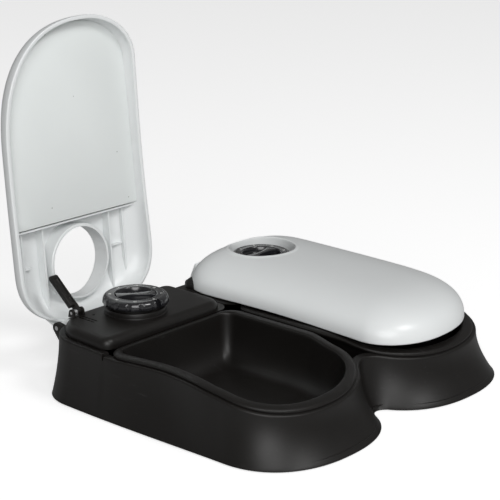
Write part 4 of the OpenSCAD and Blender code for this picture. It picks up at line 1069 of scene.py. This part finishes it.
class FEEDER_OT_lids(FeederOperator, bpy.types.Operator):
    """Build the two domed lids with their ribs, collars, bezels and hinge lugs"""
    bl_idname = "feeder.lids"
    bl_label = "Lids"

    def build(self, look):
        inner = thin(LID_WALL)
        angles = [2.2, 6, 11, 17, 23, 29, 35, 41, 47, 53, 58, 63, 67.5, 71.5, 75, 78, 80.5, 82.7, 84.5, 86,
                  87.3, 88.4]
        outside = [dome_ring(a, LID_DOME, 1) for a in angles]
        inside = [dome_ring(a, LID_DOME - LID_WALL, inner) for a in angles]
        lip = thin(3.2)
        edge = [dome_ring(90, 0, 1, 0.75), dome_ring(90, 0, thin(0.12), 0.35),
                dome_ring(90, 0, thin(0.45), 0.08),
                dome_ring(90, 0, thin(0.9), 0), dome_ring(90, 0, thin(2.7), 0),
                dome_ring(90, 0, thin(3.05), 0.15),
                dome_ring(90, 0, lip, 0.5), dome_ring(90, 0, lip, 1.6), dome_ring(90, 0, thin(2.6), 2.0)]
        shell = loft(outside + edge + inside[::-1])
        surface = BVHTree.FromPolygons([Vector(p) for p in shell.v], shell.f)
        core = loft([dome_ring(a, LID_DOME - LID_WALL * 0.5, thin(LID_WALL * 0.5)) for a in angles + [90]])
        inner_works = combine(mesh_of("ribs", [core]), [("INTERSECT", self.rib_solid())])
        steps = [("DIFFERENCE",
                  rod(LOBE_X, DIAL_Y, LID_HOLE_R + 0.35, LID_RIM_Z - 1, LID_RIM_Z + LID_DOME + 10, 160))]
        steps += [("UNION", s) for s in self.lugs()]
        for h in (-1, 1):
            x = LOBE_X + h * HINGE_OFF
            steps.append(("DIFFERENCE", rod_x(x - LUG_W, x + LUG_W, HINGE_Y, HINGE_Z, HINGE_PIN_R + 0.05)))
        mesh = combine(mesh_of("lid", [shell]), steps)
        works = combine(inner_works, [("DIFFERENCE", rod(LOBE_X, DIAL_Y, LID_HOLE_R, LID_RIM_Z - 1,
                                                         LID_RIM_Z + LID_DOME + 10, 160))])
        bezel = self.bezel(surface, look.bezel_width / MM)
        bm = bmesh.new()
        for part in (mesh, works, mesh_of("bezel", [bezel])):
            bm.from_mesh(part)
        whole = bpy.data.meshes.new("lid_whole")
        bm.to_mesh(whole)
        bm.free()
        both_sides("lid_dome", whole, finish("lid_outside"), "{side}_lid", "lid_{side}",
                   lid_place)

    def bezel(self, surface, wide):
        """A soft raised ring that follows the dome round the hole."""
        rings = []
        section = ((-0.3, -2.9), (-0.45, -0.6), (-0.3, 0.0), (0.1, 0.35), (0.8, 0.5), (wide * 0.5, 0.42),
                   (wide * 0.8, 0.2), (wide, -0.15), (wide * 0.8, -0.9), (0.9, -1.8), (0.5, -2.9))
        for i in range(160):
            a = 2 * math.pi * i / 160
            ring = []
            for dr, dz in section:
                r = LID_HOLE_R + 0.35 + dr
                x, y = LOBE_X + r * math.cos(a), DIAL_Y + r * math.sin(a)
                hit = surface.ray_cast(Vector((x, y, 200.0)), Vector((0, 0, -1)))[0]
                ring.append((x, y, (hit.z if hit else LID_RIM_Z) + dz))
            rings.append(np.array(ring))
        return hoop(rings)

    def rib_solid(self):
        """Collar and ribs before they are trimmed to the dome, as one solid."""
        top = LID_RIM_Z + LID_DOME + 3
        base = lathe([(LID_HOLE_R - 4, COLLAR_Z), (LID_HOLE_R + COLLAR_T - 0.5, COLLAR_Z),
                      (LID_HOLE_R + COLLAR_T, COLLAR_Z + 0.5), (LID_HOLE_R + COLLAR_T, top),
                      (LID_HOLE_R - 4, top)],
                     LOBE_X, DIAL_Y, 128)
        parts = []
        half = RIB_T / 2
        for x in (-48, -34, 31, 51):
            parts.append(block(LOBE_X + x - half, LOBE_X + x + half, LINER_BACK + 1.2, LID_BACK - 8, RIB_Z,
                               top))
        cross = DIAL_Y - 4
        parts.append(block(LOBE_X - 70, LOBE_X - 34.3, cross, cross + RIB_T, RIB_Z + 2, top - 0.1))
        parts.append(block(LOBE_X + 42, LOBE_X + 70, cross + 0.02, cross + RIB_T - 0.02, RIB_Z + 2,
                           top - 0.1))
        parts.append(block(LOBE_X - 70, LOBE_X + 70, LINER_BACK + 1, LINER_BACK + 1 + RIB_T, LINER_Z + 2,
                           top - 0.2))
        mesh = combine(mesh_of("ribs", [base]), [("UNION", p) for p in parts])
        return Solid([v.co[:] for v in mesh.vertices], [tuple(p.vertices) for p in mesh.polygons])

    def lugs(self):
        out = []
        for h in (-1, 1):
            x = LOBE_X + h * HINGE_OFF
            line = [(HINGE_Y - 1.5, HINGE_Z + LUG_R - 0.4), (HINGE_Y - 1.5, LID_RIM_Z + 4),
                    (HINGE_Y - 4, LID_RIM_Z + 9),
                    (HINGE_Y - 3, LID_RIM_Z + 12), (LID_BACK - 0.2, LID_RIM_Z + 3)]
            line += [(HINGE_Y + LUG_R * math.cos(t), HINGE_Z + LUG_R * math.sin(t))
                     for t in np.radians(range(20, -220, -20))]
            out.append(rounded(prism_x(line, x - LUG_W / 2, x + LUG_W / 2), 0.4))
        return out


class FEEDER_OT_liners(FeederOperator, bpy.types.Operator):
    """Build the flat panels across the inside of the lids"""
    bl_idname = "feeder.liners"
    bl_label = "Lid liners"

    def build(self, look):
        def share(y, z):
            rim = lid_rim(y)
            w = clamp01((z - rim) / (LID_RIM_Z + LID_DOME - LID_WALL - rim))
            return thin(LID_WALL) * (1 - w ** DOME_POWER) ** (1 / DOME_POWER) - LINER_GAP / LID_BACK_W

        def ring(z, d):
            pts = [p for p in LID_OUTLINE if p[1] < LINER_BACK]
            out = []
            for x, y in pts:
                k = share(y, z) - d / LID_BACK_W
                sy = max(SPINE_FRONT, min(SPINE_BACK, y))
                out.append((mix(LID_X, x, k), min(LINER_BACK - d, mix(sy, y, k)), z))
            first, last = out[0], out[-1]
            back = [(mix(last[0], first[0], t), LINER_BACK - d, z) for t in np.linspace(0, 1, 24)]
            return np.array(out + back)

        rings = [ring(LINER_Z, 0.6), ring(LINER_Z + 0.15, 0.15), ring(LINER_Z + 0.5, 0.0),
                 ring(LINER_Z + LINER_T, 0.0)]
        mesh = mesh_of("liner", [loft(rings)])
        both_sides("lid_panel", mesh, finish("lid_panel"), "{side}_lid", "lid_liner_{side}",
                   lid_place)


class FEEDER_OT_hardware(FeederOperator, bpy.types.Operator):
    """Finish the feet, screws, pins, springs, battery and clockworks"""
    bl_idname = "feeder.hardware"
    bl_label = "Hardware"

    def build(self, look):
        dress("rubber_feet", "rubber")
        dress("battery_door", "black_shell")
        dress("battery", "cell_jacket")
        for node in ("contact_spring", "contact_plate", "cover_screws"):
            dress(node, "steel")
        for side in ("left", "right"):
            for node in ("dial_spindle", "arm_pin", "arm_spring", "lid_pins"):
                dress(f"{node}_{side}", "steel")
            dress(f"timer_movement_{side}", "movement_case")


class FEEDER_OT_stage(FeederOperator, bpy.types.Operator):
    """Set the camera, the soft lamps and the pale floor"""
    bl_idname = "feeder.stage"
    bl_label = "Stage"

    def build(self, look):
        scene = bpy.context.scene
        scene.view_settings.view_transform = "Standard"
        self.camera(scene)
        self.floor(scene)
        self.world(scene, look.room_light)
        self.lamp("key", (-1.85, -1.9, 1.5), 2.2, 53)
        self.lamp("strip", (0.17, -1.4, 1.7), 0.7, 14)

    def camera(self, scene):
        eye, aim = Vector((-0.8159, -0.7234, 0.4296)), Vector((-0.05072, -0.03408, 0.11441))
        back = (eye - aim).normalized()
        side = Vector((0.217, 0.196, 0.956)).cross(back).normalized()
        up = back.cross(side)
        data = bpy.data.cameras.new("photo_view")
        data.sensor_width, data.sensor_fit, data.lens = 36.0, "HORIZONTAL", 113.92
        data.clip_start, data.clip_end = 0.01, 50.0
        cam = bpy.data.objects.new("photo_view", data)
        cam.matrix_world = Matrix.Translation(eye) @ Matrix((side, up, back)).transposed().to_4x4()
        scene.collection.objects.link(cam)
        scene.camera = cam

    def floor(self, scene):
        mesh = bpy.data.meshes.new("floor")
        mesh.from_pydata([(-8, -8, 0), (8, -8, 0), (8, 8, 0), (-8, 8, 0)], [], [(0, 1, 2, 3)])
        mat = bpy.data.materials.new("pale_floor")
        mat.use_nodes = True
        w = Wiring(mat.node_tree)
        bsdf = mat.node_tree.nodes["Principled BSDF"]
        bsdf.inputs["Base Color"].default_value = (0.6, 0.6, 0.6, 1)
        bsdf.inputs["Roughness"].default_value = 0.9
        bsdf.inputs["Emission Color"].default_value = (1, 1, 1, 1)
        seen = w.add("ShaderNodeLightPath").outputs["Is Camera Ray"]
        w.feed(bsdf.inputs["Emission Strength"], w.math("MULTIPLY", seen, 0.62))
        mesh.materials.append(mat)
        floor = bpy.data.objects.new("floor", mesh)
        scene.collection.objects.link(floor)

    def world(self, scene, strength):
        world = bpy.data.worlds.new("studio")
        world.use_nodes = True
        w = Wiring(world.node_tree)
        back = world.node_tree.nodes["Background"]
        path = w.add("ShaderNodeLightPath").outputs
        back.inputs["Color"].default_value = (1, 1, 1, 1)
        w.feed(back.inputs["Strength"], w.remap(path["Is Camera Ray"], 0, 1, strength, 1.0))
        scene.world = world

    def lamp(self, name, spot, size, power_w):
        data = bpy.data.lights.new(name, "AREA")
        data.shape, data.size, data.energy = "DISK", size, power_w
        lamp = bpy.data.objects.new(name, data)
        lamp.location = spot
        lamp.rotation_euler = (Vector((0, 0, 0.05)) - Vector(spot)).to_track_quat("-Z", "Y").to_euler()
        bpy.context.scene.collection.objects.link(lamp)


class FEEDER_PT_panel(bpy.types.Panel):
    """Sizes, colours and build steps of the feeder"""
    bl_idname = "FEEDER_PT_panel"
    bl_label = "Timer feeder"
    bl_space_type = "VIEW_3D"
    bl_region_type = "UI"
    bl_category = "Feeder"

    def draw(self, context):
        look = context.scene.feeder_look
        for name in FeederLook.__annotations__:
            self.layout.prop(look, name)
        for operator in OPERATORS:
            self.layout.operator(operator.bl_idname)


OPERATORS = (FEEDER_OT_tub, FEEDER_OT_bowls, FEEDER_OT_covers, FEEDER_OT_dials, FEEDER_OT_scales,
             FEEDER_OT_arms,
             FEEDER_OT_lids, FEEDER_OT_liners, FEEDER_OT_hardware, FEEDER_OT_stage)
CLASSES = (FeederLook, *OPERATORS, FEEDER_PT_panel)


def register():
    for cls in CLASSES:
        bpy.utils.register_class(cls)
    bpy.types.Scene.feeder_look = PointerProperty(type=FeederLook)


def unregister():
    del bpy.types.Scene.feeder_look
    for cls in reversed(CLASSES):
        bpy.utils.unregister_class(cls)


def main():
    register()
    for operator in OPERATORS:
        group, name = operator.bl_idname.split(".")
        getattr(getattr(bpy.ops, group), name)()


if __name__ == "__main__":
    main()
